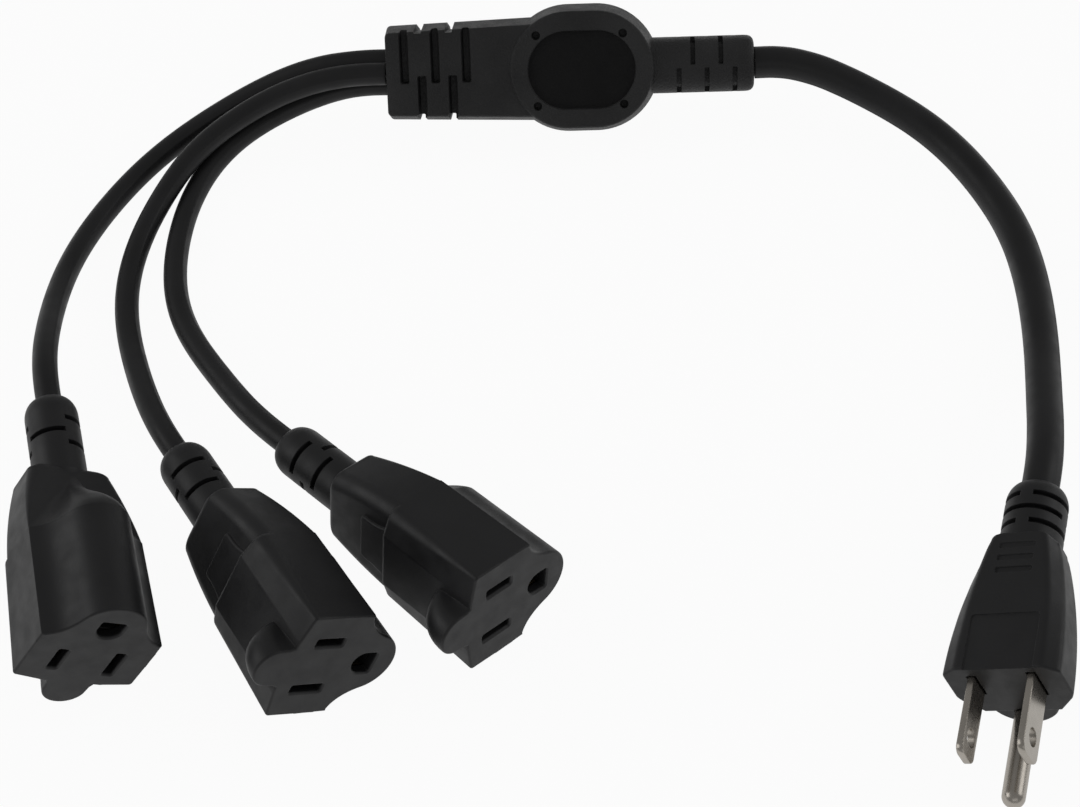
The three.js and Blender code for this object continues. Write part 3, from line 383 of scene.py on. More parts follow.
FRONT_CORNER_BOTTOM = 7.1
FRONT_FLANK_TOP = 5.6
HOOD_LENGTH = 18.2
HOOD_SINK = 2.3
HOOD_LOBE_CENTRE = 12.2
HOOD_LOBE_RADIUS = 7.6
HOOD_LOBE_START = 20
HOOD_FILLET = (9.2, 9.1)
KEY_LENGTH = 9.5
KEY_CENTRE = 11.0
KEY_RADIUS = 4.8
KEY_HALF_WIDTH = 5.4
TONGUE_LENGTH = 7.8
TONGUE_TIP_HALF_WIDTH = 6.0
TONGUE_ROOT_HALF_WIDTH = 7.8
NECK_OFFSET = 0.9
NECK_RADIUS = 6.0
FACE_WALL = 2.2
CAVITY_DEPTH = 19.8
EDGE = 0.5
LIP = 0.5

# Strain reliefs and the contact pattern, the same on the receptacles and the plug
RELIEF_SHRINK = 2.4
RELIEF_ROUND = 4.2
GROOVE_PITCH = 3.55
GROOVE_WIDTH = 1.3
GROOVE_DEPTH = 1.5
BLADE_OFFSET = 6.35
PIN_OFFSET = 11.9
FIT_GAP = 0.3


def shoulder(z, length, size):
    """How far a rounded shoulder still has to rise at z: one at its start, none at its end."""
    t = min(max((z + length) / size, 0.0), 1.0)
    return 1 - math.sqrt(max(1 - (1 - t) ** 2, 0.0))


def rear_share(z):
    """How far z is from the front part, at zero, to the shoulder, at one."""
    return min(max(-z - FRONT_LENGTH, 0.0) / (BODY_LENGTH - SHOULDER_ROUND - FRONT_LENGTH), 1.0)


def receptacle_half_width(z):
    if z > -FRONT_LENGTH:
        return FACE_HALF_WIDTH + (FACE_HALF_WIDTH - FLANK_HALF_WIDTH) * z / FRONT_LENGTH
    t = rear_share(z)
    waist = (FLANK_HALF_WIDTH - SHOULDER_HALF_WIDTH) * (WAIST_STRAIGHT * t + WAIST_CURVED * t * t)
    return FLANK_HALF_WIDTH - waist - SHOULDER_TUCK * shoulder(z, BODY_LENGTH, SHOULDER_ROUND)


def rear_top(z):
    """The rear's upper face slopes from the hood's corner down to the shoulder."""
    return FACE_CORNER_TOP + (REAR_TOP - FACE_CORNER_TOP) * rear_share(z)


def rear_section(z):
    half = receptacle_half_width(z)
    low = min(REAR_LOW_CORNER, half - REAR_BOTTOM_FLAT)
    drop = SHOULDER_DROP * shoulder(z, BODY_LENGTH, SHOULDER_ROUND)
    top = rear_top(z) - drop
    high = REAR_HIGH_CORNER + (REAR_HIGH_CORNER_GROWTH * (FACE_CORNER_TOP - rear_top(z))
                               / (FACE_CORNER_TOP - REAR_TOP))
    bottom = REAR_BOTTOM - drop
    return (
        arc(half - low, low - bottom, low, -90, 0, 10)
        + arc(half - high, top - high, high, 0, 90, 10)
        + arc(high - half, top - high, high, 90, 180, 10)
        + arc(low - half, low - bottom, low, 180, 270, 10)
    )


def front_section(z, amount):
    half = receptacle_half_width(z)
    r = FACE_LOW_CORNER - LOW_CORNER_GROWTH * z / FRONT_LENGTH
    base = FRONT_BOTTOM + arc(half - r, r - FRONT_CORNER_BOTTOM, r, -80, 0, 8)
    base += [(half, FRONT_FLANK_TOP), (-half, FRONT_FLANK_TOP)]
    base += arc(r - half, r - FRONT_CORNER_BOTTOM, r, 180, 260, 8)
    return inset(base, amount)


def hood_section(z, amount):
    """Full at the face, sinking and narrowing to a point behind the front."""
    rise = min(max(-z - FRONT_LENGTH, 0) / HOOD_LENGTH, 1.0)
    height = math.cos(rise * math.pi / 2) ** HOOD_SINK
    top = rear_top(z)
    half = receptacle_half_width(max(z, -FRONT_LENGTH))
    lobe = arc(0, HOOD_LOBE_CENTRE, HOOD_LOBE_RADIUS, HOOD_LOBE_START, 180 - HOOD_LOBE_START, 36)
    fillet = [bend((half, FACE_CORNER_TOP), HOOD_FILLET, lobe[0], i / 12) for i in range(13)]
    line = fillet + lobe[1:-1] + [(-x, y) for x, y in reversed(fillet)]
    line = [(x * (1 - rise), top + (y - FACE_CORNER_TOP) * height) for x, y in line]
    foot = half * (1 - rise)
    return inset([(-foot, 0.0), (foot, 0.0)] + line, amount)


def face_stations(start, edge=EDGE):
    """Stations up to the face whose last few round its edge over, as (z, inset)."""
    tail = [(-edge, 0.0), (-edge * 0.62, edge * 0.08), (-edge * 0.29, edge * 0.29),
            (-edge * 0.08, edge * 0.62), (0.0, edge)]
    return [(z, 0.0) for z in start] + tail


def relief_profile(radius, back, front):
    """A strain relief whose back end rounds off towards the cord."""
    profile = [(back, radius - RELIEF_SHRINK)]
    for i in range(1, 13):
        a = math.pi / 2 * i / 12
        profile.append((back + RELIEF_ROUND * (1 - math.cos(a)),
                        radius - RELIEF_SHRINK * (1 - math.sin(a))))
    profile.append((front, radius))
    return profile


def turned(name, profile, y, sides=72, place=lambda x, y, z: (x, y, z)):
    return loft(name, [(z, arc(0, y, r, 0, 360, sides)[:-1]) for z, r in profile], place)


def grooves(y, radius, first, starts, span):
    """Three rows of slots across a strain relief, two to a row, each row turned from the last."""
    cuts = []
    for row, start in enumerate(starts):
        z = first + row * GROOVE_PITCH
        for a in (start, start + 180):
            outline = (arc(0, y, radius + GROOVE_DEPTH, a, a + span, 24)
                       + arc(0, y, radius - GROOVE_DEPTH, a + span, a, 24))
            cuts.append(prism("groove", outline, z - GROOVE_WIDTH / 2, z + GROOVE_WIDTH / 2))
    return cuts


def mouth(name, outline):
    """An opening through the face whose mouth opens out to a narrow lip."""
    return loft(name, [(-FACE_WALL - 1, outline), (-LIP, outline),
                       (-LIP * 0.45, inset(outline, -LIP * 0.3)),
                       (0.0, inset(outline, -LIP)), (1.0, inset(outline, -LIP))])


def key_section(share, amount):
    """The key lobe below the body, at a share of its full depth."""
    cap = arc(0, -KEY_CENTRE * share, KEY_RADIUS, 180, 360, 28)
    foot = [(KEY_HALF_WIDTH, -2.0), (-KEY_HALF_WIDTH, -2.0), (-KEY_HALF_WIDTH, -8.2 * share),
            (-4.95, -9.2 * share)]
    return inset(foot + cap + [(4.95, -9.2 * share), (KEY_HALF_WIDTH, -8.2 * share)], amount)


def tongue_mesh():
    """The low tongue on the rear's top, with a blunt tip and flared sides."""
    tip = -FRONT_LENGTH - TONGUE_LENGTH
    right = arc(TONGUE_TIP_HALF_WIDTH - 1.2, tip, 1.2, 270, 360, 6)
    start = (TONGUE_TIP_HALF_WIDTH, tip + 1)
    lean = (TONGUE_TIP_HALF_WIDTH, -FRONT_LENGTH - 3)
    root = (TONGUE_ROOT_HALF_WIDTH, -FRONT_LENGTH)
    right += [bend(start, lean, root, i / 8) for i in range(1, 9)]
    right.append((TONGUE_ROOT_HALF_WIDTH, -FRONT_LENGTH + 1))
    outline = right + [(-x, y) for x, y in reversed(right)]
    steps = [(4.0, 0.0), (6.3, 0.0), (6.5, 0.08), (6.67, 0.25), (6.75, 0.5)]
    return loft("tongue", [(z, inset(outline, a)) for z, a in steps], lambda x, y, z: (x, -z, y))


def receptacle_mesh():
    rear_z = [i * 0.2 - BODY_LENGTH for i in range(10)]
    run = BODY_LENGTH - SHOULDER_ROUND
    rear_z += [-run + i * (run - FRONT_LENGTH) / 24 for i in range(25)]
    rear = loft("receptacle", [(z, rear_section(z)) for z in rear_z]
                + [(-10.0, rear_section(-FRONT_LENGTH))])
    front_run = [(-27.5, 0.9), (-27.3, 0.5), (-27.0, 0.2), (-26.6, 0.04), (-26.2, 0.0)]
    front_run += [(z, 0.0) for z in (-23, -19, -15, -11, -7, -3)] + face_stations([])
    front = loft("front", [(z, front_section(z, a)) for z, a in front_run])
    hood_z = [-FRONT_LENGTH - (1 - i / 40) * HOOD_LENGTH * 0.985 for i in range(41)] + [-14.0]
    hood = loft("hood", [(z, hood_section(z, a)) for z, a in face_stations(hood_z)])
    key_run = []
    for i in range(13):
        a = math.radians(7.5 * i)
        key_run.append((-KEY_LENGTH * math.cos(a) - 0.6, 0.3 + 0.7 * math.sin(a)))
    key = loft("key", [(z, key_section(share, 0.0)) for z, share in key_run]
               + [(z, key_section(1.0, a)) for z, a in face_stations([])][1:])
    neck_profile = relief_profile(NECK_RADIUS, -RECEPTACLE_LENGTH, -46.6)
    neck = turned("neck", neck_profile + [(-46.0, 5.75), (-45.2, 5.3), (-44.2, 4.6)], NECK_OFFSET)
    boolean(rear, [front, hood, key, tongue_mesh(), neck], "UNION")

    ground = (arc(0, 11.7, 2.6, 180, 360, 24)
              + arc(2.2, 13.9, 0.4, 0, 90, 3) + arc(-2.2, 13.9, 0.4, 90, 180, 3))
    tools = [
        prism("cavity", carrier_outline(FIT_GAP), -CAVITY_DEPTH, -FACE_WALL),
        mouth("line_slot", rounded_rect(-BLADE_OFFSET, 0, 1.0, 3.4, 0.3)),
        mouth("neutral_slot", rounded_rect(BLADE_OFFSET, 0, 1.0, 3.9, 0.3)),
        mouth("ground_hole", ground),
        turned("bore", [(-RECEPTACLE_LENGTH - 1, 2.0), (1 - CAVITY_DEPTH, 2.0)], NECK_OFFSET, 24),
    ]
    tools += grooves(NECK_OFFSET, NECK_RADIUS, -RECEPTACLE_LENGTH + 7.7, (1, 91, 1), 88)
    boolean(rear, tools, "DIFFERENCE")
    return finish_mesh(rear)


def carrier_outline(grow):
    side, boss = 10 + grow, 4.4 + grow
    low, shoulder, top = -5.6 - grow, 6.2 + grow, 16.2 + grow
    return [(-side, low), (side, low), (side, shoulder), (boss, shoulder), (boss, top),
            (-boss, top), (-boss, shoulder), (-side, shoulder)]


def build_receptacles(material):
    first = receptacle_mesh()
    shells = [first] + [bpy.data.objects.new("receptacle", first.data.copy()) for _ in range(2)]
    for obj in shells[1:]:
        bpy.context.scene.collection.objects.link(obj)
    for i, (obj, place, lift) in enumerate(zip(shells, RECEPTACLE_PLACES, RECEPTACLE_LIFTS)):
        obj.name = f"receptacle_{i + 1}_shell"
        settle(obj, placed(place, lift))
        dress(obj, f"receptacle_{i + 1}_overmould", material)


# Plug, in a frame with Z along the blades and Y towards the ground pin
PLUG_LENGTH = 48.2
PLUG_BODY_LENGTH = 33.2
PLUG_NECK_OFFSET = 0.7
PLUG_RELIEF_RADIUS = 6.6
PLUG_SHOULDER_ROUND = 1.6
PLUG_FACE_HALF_WIDTH = 12.3
PLUG_REAR_HALF_WIDTH = 7.6
PLUG_TOP = 6.2
PLUG_TOP_HALF_WIDTH = 9.4
PLUG_EDGE = 0.45
PLUG_LOBE_CENTRE = 9.15
PLUG_LOBE_RADIUS = 7.35
PLUG_LOBE_STRAIGHT = 12
RIB_PLACES = (23.9, 27.0, 30.1)
BLADE_ROOT = 9.0
BLADE_PROUD = 16.9
BLADE_HOLE_PLACE = 12.2
BLADE_HOLE_RADIUS = 1.95
PIN_PROUD = 21.0
PIN_RADIUS = 2.38


def plug_half_width(z):
    run = PLUG_BODY_LENGTH - PLUG_SHOULDER_ROUND
    u = min(max((z + run) / run, 0.0), 1.0)
    spread = (PLUG_FACE_HALF_WIDTH - PLUG_REAR_HALF_WIDTH) * math.sin(u * math.pi / 2) ** 0.8
    tuck = PLUG_SHOULDER_ROUND * shoulder(z, PLUG_BODY_LENGTH, PLUG_SHOULDER_ROUND)
    return PLUG_REAR_HALF_WIDTH + spread - tuck


def plug_section(z, amount):
    half = plug_half_width(z)
    share = half / PLUG_FACE_HALF_WIDTH
    top_half = PLUG_TOP_HALF_WIDTH * share
    top = PLUG_TOP - 0.6 * (1 - share)
    right = [(top_half - 0.7, -top), (top_half - 0.2, -top + 0.1), (top_half + 0.3, -top + 0.42),
             (half - 0.35, -4.3 * share), (half - 0.08, -3.9 * share), (half, -3.4 * share),
             (half, 4.3 * share), (half - 0.15, 4.8 * share), (half - 0.7, 6 * share),
             (half * 0.66, 10.2 * share)]
    left = [(-x, y) for x, y in reversed(right)]
    return inset(resample(right + left, 144), amount)


def plug_lobe_section(z, amount=0.0):
    fall = max(-z - PLUG_LOBE_STRAIGHT, 0) / (PLUG_BODY_LENGTH - PLUG_LOBE_STRAIGHT)
    centre = PLUG_LOBE_CENTRE + (PLUG_NECK_OFFSET - PLUG_LOBE_CENTRE) * fall ** 1.6
    radius = PLUG_LOBE_RADIUS - 1.1 * fall
    return inset([(-radius, -2), (radius, -2)] + arc(0, centre, radius, 0, 180, 40), amount)


def bridge_outline(grow):
    side, boss = 9.2 + grow, 3.2 + grow
    half, top = 4.4 + grow, 14.9 + grow
    return [(-side, -half), (side, -half), (side, half), (boss, half), (boss, top),
            (-boss, top), (-boss, half), (-side, half)]


def plug_mesh():
    zs = [i * 0.2 - PLUG_BODY_LENGTH for i in range(8)]
    zs += [-31.5 + i * 31.0 / 30 for i in range(30)]
    body = loft("plug", [(z, plug_section(z, a)) for z, a in face_stations(zs, PLUG_EDGE)])
    lobe_z = [-32.6 + i * (32.6 - 1.9) / 28 for i in range(29)]
    lobe = loft("lobe", [(z, plug_lobe_section(z)) for z in lobe_z]
                + [(-1.4, plug_lobe_section(-1.4, 0.12)), (-1.0, plug_lobe_section(-1.0, 0.5))])
    neck = turned("neck", relief_profile(PLUG_RELIEF_RADIUS, -PLUG_LENGTH, -PLUG_BODY_LENGTH + 1)
                  + [(-31.0, 5.6), (-30.0, 4.6)], PLUG_NECK_OFFSET)
    boolean(body, [lobe, neck], "UNION")
    panel = rounded_rect(0, -5.6, 7.2, 7.4, 0.8)
    tools = [
        prism("bridge_pocket", bridge_outline(FIT_GAP), -BLADE_ROOT, -2.4),
        prism("line_gap", rounded_rect(BLADE_OFFSET, 0, 1.05, 3.475, 0.2), -BLADE_ROOT - FIT_GAP, 1),
        prism("neutral_gap", rounded_rect(-BLADE_OFFSET, 0, 1.05, 4.25, 0.2), -BLADE_ROOT - FIT_GAP, 1),
        turned("pin_gap", [(-9.3, 2.68), (1.0, 2.68)], PIN_OFFSET, 40),
        turned("bore", [(-PLUG_LENGTH - 1, 2.6), (-8.0, 2.6)], PLUG_NECK_OFFSET, 24),
        loft("panel", [(-7.0, inset(panel, -0.25)), (-6.2, inset(panel, -0.1)), (-5.85, panel)],
             lambda x, y, z: (-x, z, y)),
    ]
    for back in RIB_PLACES:
        slot = rounded_rect(0, -back, 3.7, 0.5, 0.35)
        tools.append(loft("rib", [(-7.0, inset(slot, -0.45)), (-6.0, inset(slot, -0.25)), (-5.6, slot)],
                          lambda x, y, z: (-x, z, y)))
    tools += grooves(PLUG_NECK_OFFSET, PLUG_RELIEF_RADIUS, -PLUG_LENGTH + 4.6, (-78, 12, -78), 156)
    boolean(body, tools, "DIFFERENCE")
    return finish_mesh(body)


def blade_mesh(name, x, width):
    half = width / 2
    nose = half * 0.55
    outline = [(half, -BLADE_ROOT)] + arc(half - nose, BLADE_PROUD - nose, nose, 0, 90, 12)
    outline += arc(nose - half, BLADE_PROUD - nose, nose, 90, 180, 12) + [(-half, -BLADE_ROOT)]

    def turn(u, v, w):
        return (x + w, u, v)

    steps = [(-0.75, 0.22), (-0.69, 0.08), (-0.55, 0.0), (0.55, 0.0), (0.69, 0.08), (0.75, 0.22)]
    blade = loft(name, [(w, inset(outline, a)) for w, a in steps], turn)
    hole = arc(0, BLADE_HOLE_PLACE, BLADE_HOLE_RADIUS, 0, 360, 40)[:-1]
    boolean(blade, [prism("hole", hole, -2, 2, turn)], "DIFFERENCE")
    return finish_mesh(blade, METAL_CREASE)


def pin_mesh():
    """A round pin with a ball end."""
    ball = PIN_PROUD - PIN_RADIUS
    profile = [(-BLADE_ROOT, PIN_RADIUS)] + [(17.6 + i * 0.25, PIN_RADIUS) for i in range(4)]
    for i in range(1, 15):
        a = math.pi / 2 * i / 14
        profile.append((ball + PIN_RADIUS * math.sin(a), max(PIN_RADIUS * math.cos(a), 0.02)))
    return finish_mesh(turned("plug_pin", profile, PIN_OFFSET, 48), METAL_CREASE)


def build_plug(vinyl, nickel):
    where = placed(PLUG_PLACE, PLUG_LIFT)
    pieces = [
        (plug_mesh(), "plug_shell", "plug_overmould", "black_vinyl", vinyl),
        (blade_mesh("blade_l", BLADE_OFFSET, 6.35), "plug_blade_narrow", "plug_line_blade",
         "nickel_plate", nickel),
        (blade_mesh("blade_n", -BLADE_OFFSET, 7.9), "plug_blade_wide", "plug_neutral_blade",
         "nickel_plate", nickel),
        (pin_mesh(), "plug_round_pin", "plug_ground_pin", "nickel_plate", nickel),
    ]
    for obj, name, node, slot, material in pieces:
        obj.name = name
        settle(obj, where)
        dress(obj, node, material)


# Splitter block, in a frame with X along it, Y up its face and Z out of its face
HEAD_CENTRE = 0.4
HEAD_STRAIGHT = 3.5
HEAD_RADIUS = 16.2
HEAD_HALF_DEPTH = 8.7
NECK_END = 50.0
NECK_HALF_DEPTH = 8.1
DRAFT = 1.4
BLOCK_EDGE = 0.7
RELIEF_END = 44.2
FEED_HALF_WIDTH = 6.6
FEED_HALF_HEIGHT = 7.1
FEED_SLOT_START = 25.1
FEED_SLOT_HALF_WIDTH = 0.6
PANEL_STRAIGHT = 3.9
PANEL_RADIUS = 9.9
PANEL_FLOOR = 7.8
PIT_PLACE = (11.0, 8.9)
PIT_RADIUS = 1.0
# Slots across the neck's faces: place from the neck's end, middle and half length
FACE_SLOTS = [(5.1, 4.6, 6.7), (13.05, 4.6, 6.7), (21.0, 4.6, 6.7), (9.475, -8.1, 7.4), (17.425, -8.1, 7.4)]
EDGE_NOTCHES = (8.775, 16.725)
BRANCH_BORES = [(3.05, -2.6), (0.0, 2.7), (-3.05, -2.6)]


def stadium(centre, straight, radius):
    return arc(centre + straight, 0, radius, -90, 90, 40) + arc(centre - straight, 0, radius, 90, 270, 40)


def neck_outline(amount):
    """The neck at a given draft, its end wall nearly upright."""
    outer, inner = 12.0 - amount, 13.4 - amount
    end = -NECK_END + 0.25 * amount
    return (arc(end + 1.2, 1.2 - outer, 1.2, 180, 266, 6) + [(-4, -inner), (-4, inner)]
            + arc(end + 1.2, outer - 1.2, 1.2, 94, 180, 6))


def drafted(name, half, outline):
    """A body drafted both ways from its parting line; outline gives its shape at an inset."""
    steps = [(0.3, 0.0), (half - BLOCK_EDGE, DRAFT)]
    for i in range(1, 7):
        a = math.pi / 2 * i / 6
        steps.append((half - BLOCK_EDGE + BLOCK_EDGE * math.sin(a), DRAFT + BLOCK_EDGE * (1 - math.cos(a))))
    above = [(z, outline(a)) for z, a in steps]
    below = [(-z, outline(a)) for z, a in reversed(steps)]
    return loft(name, below + above)


def squircle(half_x, half_y, steps, start=0.0, end=360.0):
    """An outline between an ellipse and a rectangle."""
    points = []
    for x, y in arc(0, 0, 1, start, end, steps):
        points.append((math.copysign(abs(x) ** 0.75, x) * half_x, math.copysign(abs(y) ** 0.75, y) * half_y))
    return points


def feed_slot(x, start, end):
    outer = arc(0, 0, 10.5, start, end, 20)
    inner = squircle(FEED_HALF_WIDTH - GROOVE_DEPTH, FEED_HALF_HEIGHT - GROOVE_DEPTH, 20, end, start)
    return prism("feed_slot", outer + inner, x - FEED_SLOT_HALF_WIDTH, x + FEED_SLOT_HALF_WIDTH, along_x)


def block_mesh():
    block = drafted("block", HEAD_HALF_DEPTH, lambda a: stadium(HEAD_CENTRE, HEAD_STRAIGHT, HEAD_RADIUS - a))
    neck = drafted("neck", NECK_HALF_DEPTH, neck_outline)
    feed = loft("feed", [
        (z, inset(squircle(FEED_HALF_WIDTH, FEED_HALF_HEIGHT, 96)[:-1], a)) for z, a in
        [(8, 0), (41.8, 0), (42.8, 0.08), (43.5, 0.35), (43.9, 0.75), (44.1, 1.1), (RELIEF_END, 1.5)]
    ], along_x)
    boolean(block, [neck, feed], "UNION")
    tools = []
    for side in (1, -1):
        def face(x, y, z, side=side):
            return (x * side, y, z * side)

        recess = stadium(HEAD_CENTRE * side, PANEL_STRAIGHT, PANEL_RADIUS)
        steps = [(PANEL_FLOOR, 0.3), (PANEL_FLOOR + 0.06, 0.12), (PANEL_FLOOR + 0.2, 0.0), (8.6, 0.0),
                 (8.75, -0.12), (10.0, -0.12)]
        tools.append(loft("recess", [(z, inset(recess, a)) for z, a in steps], face))
        steps = [(6.4, 0.1), (8.4, 0.0), (8.8, -0.2), (10, -0.2)]
        for x in (-PIT_PLACE[0], PIT_PLACE[0]):
            for y in (-PIT_PLACE[1], PIT_PLACE[1]):
                pit = arc(x, y, PIT_RADIUS, 0, 360, 24)[:-1]
                tools.append(loft("pit", [(z, inset(pit, a)) for z, a in steps], face))
        steps = [(5.3, 0.8, 0.0), (7.6, 0.95, 0.1), (8.1, 1.2, 0.3), (10.0, 1.3, 0.4)]
        for back, y, reach in FACE_SLOTS:
            x = (back - NECK_END) * side
            tools.append(loft("slot", [(z, rounded_rect(x, y, half, reach + longer, 0.4))
                                       for z, half, longer in steps], face))
    for back in EDGE_NOTCHES:
        for y in (-14.0, 14.0):
            tools.append(prism("notch", rounded_rect(back - NECK_END, y, 0.95, 3.7, 0.3), -9.5, 9.5))
    for turn in (90, 270):
        for i in range(2):
            tools.append(feed_slot(FEED_SLOT_START + (2 * i + 1) * GROOVE_PITCH, turn + 2, turn + 88))
        for i in range(3):
            tools.append(feed_slot(FEED_SLOT_START + 2 * i * GROOVE_PITCH, turn + 92, turn + 178))
    tools.append(prism("pocket", [(-5.8, -7.4), (8.8, -7.4), (8.8, 7.4), (-5.8, 7.4)], -2.2, 2.2))
    tools.append(turned("feed_bore", [(8.0, 2.6), (46.0, 2.6)], 0.0, 24, along_x))
    for y, z in BRANCH_BORES:
        tools.append(turned("bore", [(-NECK_END - 1, 1.3), (-4.8, 1.3)], 0.0, 20,
                            lambda a, b, c, y=y, z=z: (c, b + y, -a + z)))
    boolean(block, tools, "DIFFERENCE")
    panels = [face.index for face in block.data.polygons
              if abs(abs(face.center.z) - PANEL_FLOOR) < 0.05 and abs(face.normal.z) > 0.9]
    return finish_mesh(block), panels


def build_block(vinyl, panel_vinyl):
    obj, panels = block_mesh()
    obj.name = "splitter_shell"
    tilt = Matrix.Rotation(math.radians(BLOCK_PLACE["tilt"]), 4, "X")
    yaw = Matrix.Rotation(math.radians(BLOCK_PLACE["yaw"]), 4, "Z")
    point = (Vector((BLOCK_PLACE["x"], BLOCK_PLACE["y"], BLOCK_LIFT)) + SHIFT) * MM
    settle(obj, Matrix.Translation(point) @ yaw @ tilt)
    dress(obj, "splitter_overmould", vinyl)
    obj.data.materials.append(panel_vinyl)
    for index in panels:
        obj.data.polygons[index].material_index = 1


# Materials
EDGE_ROUND = 0.0003


def shader_tree(name):
    material = bpy.data.materials.new(name)
    material.use_nodes = True
    tree = material.node_tree
    return material, tree, tree.nodes["Principled BSDF"]


def add(tree, kind, **inputs):
    node = tree.nodes.new(kind)
    for key, value in inputs.items():
        node.inputs[key.replace("_", " ")].default_value = value
    return node


def noise(tree, coords, scale, detail, rough):
    node = add(tree, "ShaderNodeTexNoise", Scale=scale, Detail=detail, Roughness=rough)
    tree.links.new(coords.outputs["Object"], node.inputs["Vector"])
    return node


def ramp(tree, source, low, high, stops=(0.0, 1.0)):
    node = tree.nodes.new("ShaderNodeMapRange")
    node.inputs["From Min"].default_value = stops[0]
    node.inputs["From Max"].default_value = stops[1]
    node.inputs["To Min"].default_value = low
    node.inputs["To Max"].default_value = high
    tree.links.new(source, node.inputs["Value"])
    return node.outputs["Result"]


def colour_mix(tree, factor, first, second):
    node = tree.nodes.new("ShaderNodeMix")
    node.data_type = "RGBA"
    node.inputs["A"].default_value = (*first, 1)
    node.inputs["B"].default_value = (*second, 1)
    tree.links.new(factor, node.inputs["Factor"])
    return node.outputs["Result"]


def maths(tree, operation, first, second):
    """A maths node over an output and a constant or a second output."""
    node = tree.nodes.new("ShaderNodeMath")
    node.operation = operation
    tree.links.new(first, node.inputs[0])
    if isinstance(second, float):
        node.inputs[1].default_value = second
    else:
        tree.links.new(second, node.inputs[1])
    return node.outputs[0]


def bumped(tree, shader, heights):
    """Adds layered bumps over a rounded-edge normal."""
    edge = tree.nodes.new("ShaderNodeBevel")
    edge.samples = 4
    edge.inputs["Radius"].default_value = EDGE_ROUND
    normal = edge.outputs["Normal"]
    for source, strength, distance in heights:
        bump = tree.nodes.new("ShaderNodeBump")
        bump.inputs["Strength"].default_value = strength
        bump.inputs["Distance"].default_value = distance
        tree.links.new(source, bump.inputs["Height"])
        tree.links.new(normal, bump.inputs["Normal"])
        normal = bump.outputs["Normal"]
    tree.links.new(normal, shader.inputs["Normal"])


def vinyl_material(name, dark, light, rough, grain_scale, grain, specular=0.4, depth=0.00006):
    material, tree, shader = shader_tree(name)
    coords = tree.nodes.new("ShaderNodeTexCoord")
    grains = noise(tree, coords, grain_scale, 2.0, 0.6)
    clouds = noise(tree, coords, 60.0, 4.0, 0.55)
    flow = noise(tree, coords, 240.0, 3.0, 0.5)
    tone = ramp(tree, clouds.outputs["Fac"], 0.0, 1.0, (0.35, 0.68))
    tree.links.new(colour_mix(tree, tone, dark, light), shader.inputs["Base Color"])
    tree.links.new(
        ramp(tree, flow.outputs["Fac"], rough - 0.06, rough + 0.07, (0.3, 0.7)),
        shader.inputs["Roughness"],
    )
    shader.inputs["Specular IOR Level"].default_value = specular
    bumped(tree, shader, [
        (grains.outputs["Fac"], grain, depth),
        (flow.outputs["Fac"], 0.12, 0.0001),
    ])
    return material


def metal_material(name, colour, tint, rough):
    material, tree, shader = shader_tree(name)
    coords = tree.nodes.new("ShaderNodeTexCoord")
    scratches = noise(tree, coords, 900.0, 4.0, 0.7)
    smear = noise(tree, coords, 130.0, 3.0, 0.5)
    factor = ramp(tree, smear.outputs["Fac"], 0.0, 1.0, (0.3, 0.7))
    tree.links.new(colour_mix(tree, factor, colour, tint), shader.inputs["Base Color"])
    tree.links.new(
        ramp(tree, scratches.outputs["Fac"], rough - 0.03, rough + 0.04, (0.3, 0.7)),
        shader.inputs["Roughness"],
    )
    shader.inputs["Metallic"].default_value = 1.0
    bumped(tree, shader, [(scratches.outputs["Fac"], 0.05, 0.00002)])
    return material


# Floor, lamps and world. The floor shows this share of plain white to the camera and in
# reflections; the rest is its own matt white, which takes the shadow.
FLOOR_HALF = 3
FLOOR_WHITE = 0.95
FLOOR_MIRRORED = 0.62
WORLD_LEVEL = 0.28
LAMPS = [
    # name, place, aim, width, height, watts
    ("soft_left", (-0.75, 0.10, 0.42), (-0.02, 0.0, 0.0), 0.7, 0.5, 1.2),
    ("soft_right", (0.80, 0.15, 0.45), (0.03, 0.0, 0.0), 0.6, 0.5, 1.0),
    ("soft_front", (0.05, -0.95, 0.55), (0.0, -0.05, 0.0), 0.9, 0.4, 0.45),
]


def build_stage():
    f = FLOOR_HALF
    floor = mesh_object("floor", [(-f, -f, 0), (f, -f, 0), (f, f, 0), (-f, f, 0)], [(0, 1, 2, 3)])
    material, tree, shader = shader_tree("table_white")
    shader.inputs["Base Color"].default_value = (0.86, 0.86, 0.86, 1)
    shader.inputs["Roughness"].default_value = 0.8
    shader.inputs["Specular IOR Level"].default_value = 0.1
    glow = add(tree, "ShaderNodeEmission", Strength=1.0)
    glow.inputs["Color"].default_value = (1, 1, 1, 1)
    path = tree.nodes.new("ShaderNodeLightPath")
    seen = maths(tree, "MAXIMUM", path.outputs["Is Camera Ray"], path.outputs["Is Transmission Ray"])
    direct = maths(tree, "MULTIPLY", seen, FLOOR_WHITE)
    mirrored = maths(tree, "MULTIPLY", path.outputs["Is Glossy Ray"], FLOOR_MIRRORED)
    mix = tree.nodes.new("ShaderNodeMixShader")
    tree.links.new(maths(tree, "MAXIMUM", direct, mirrored), mix.inputs["Fac"])
    tree.links.new(shader.outputs["BSDF"], mix.inputs[1])
    tree.links.new(glow.outputs["Emission"], mix.inputs[2])
    tree.links.new(mix.outputs["Shader"], tree.nodes["Material Output"].inputs["Surface"])
    floor.data.materials.append(material)


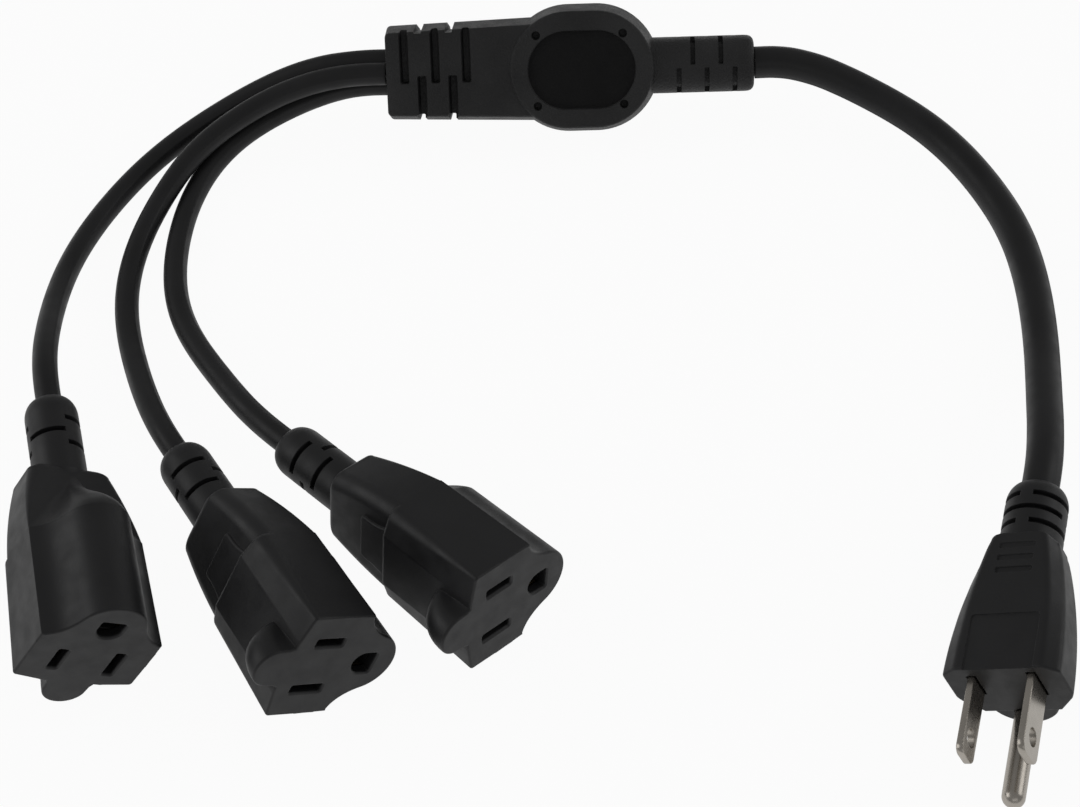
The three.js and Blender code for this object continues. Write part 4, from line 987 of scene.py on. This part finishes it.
def build_light():
    world = bpy.data.worlds.new("studio")
    world.use_nodes = True
    background = world.node_tree.nodes["Background"]
    background.inputs["Color"].default_value = (1, 1, 1, 1)
    background.inputs["Strength"].default_value = WORLD_LEVEL
    bpy.context.scene.world = world
    for name, place, aim, width, height, watts in LAMPS:
        data = bpy.data.lights.new(name, "AREA")
        data.shape = "RECTANGLE"
        data.size = width
        data.size_y = height
        data.energy = watts
        lamp = bpy.data.objects.new(name, data)
        bpy.context.scene.collection.objects.link(lamp)
        direction = Vector(aim) - Vector(place)
        lamp.rotation_euler = direction.to_track_quat("-Z", "Y").to_euler()
        lamp.location = place


scene = bpy.context.scene
scene.view_settings.view_transform = "Standard"

add_camera()
cord_vinyl = vinyl_material(
    "cord_jacket", (0.012, 0.012, 0.0125), (0.018, 0.018, 0.019), 0.46, 2600.0, 0.18, specular=0.3)
black_vinyl = vinyl_material(
    "moulded_vinyl", (0.0105, 0.0105, 0.0112), (0.0155, 0.0155, 0.0165), 0.48, 3800.0, 0.35)
splitter_vinyl = vinyl_material(
    "splitter_vinyl", (0.0115, 0.0115, 0.012), (0.027, 0.027, 0.0275), 0.5, 1900.0, 1.0, depth=0.0003)
panel_vinyl = vinyl_material(
    "splitter_panel", (0.004, 0.004, 0.0042), (0.007, 0.007, 0.0073), 0.65, 1300.0, 1.0,
    specular=0.22, depth=0.00025)
nickel = metal_material("nickel_plating", (0.42, 0.39, 0.345), (0.47, 0.435, 0.39), 0.27)
# Contact brass painted dull and dark: its colour is painted shade for the dark openings, not the metal's own
# colour.
brass_painted_shade = metal_material("brass_strip", (0.14, 0.105, 0.055), (0.18, 0.14, 0.08), 0.5)
# Black like the real carriers, and darker than the vinyl as painted shade inside the openings.
carrier_plastic_painted_shade = vinyl_material(
    "carrier_plastic_painted_shade", (0.006, 0.006, 0.0062), (0.009, 0.009, 0.0095), 0.6, 3000.0, 0.3)

build_cords(cord_vinyl)
build_receptacles(black_vinyl)
build_plug(black_vinyl, nickel)
build_block(splitter_vinyl, panel_vinyl)

# The carriers and the brass inside the openings take these darkened materials, which paint the shade there.
for name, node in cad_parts.items():
    if name.endswith("_carrier") or name == "plug_bridge":
        node.data.materials.clear()
        node.data.materials.append(carrier_plastic_painted_shade)
    elif name.endswith("_contact") or name.startswith("splice_"):
        node.data.materials.clear()
        node.data.materials.append(brass_painted_shade)

build_stage()
build_light()
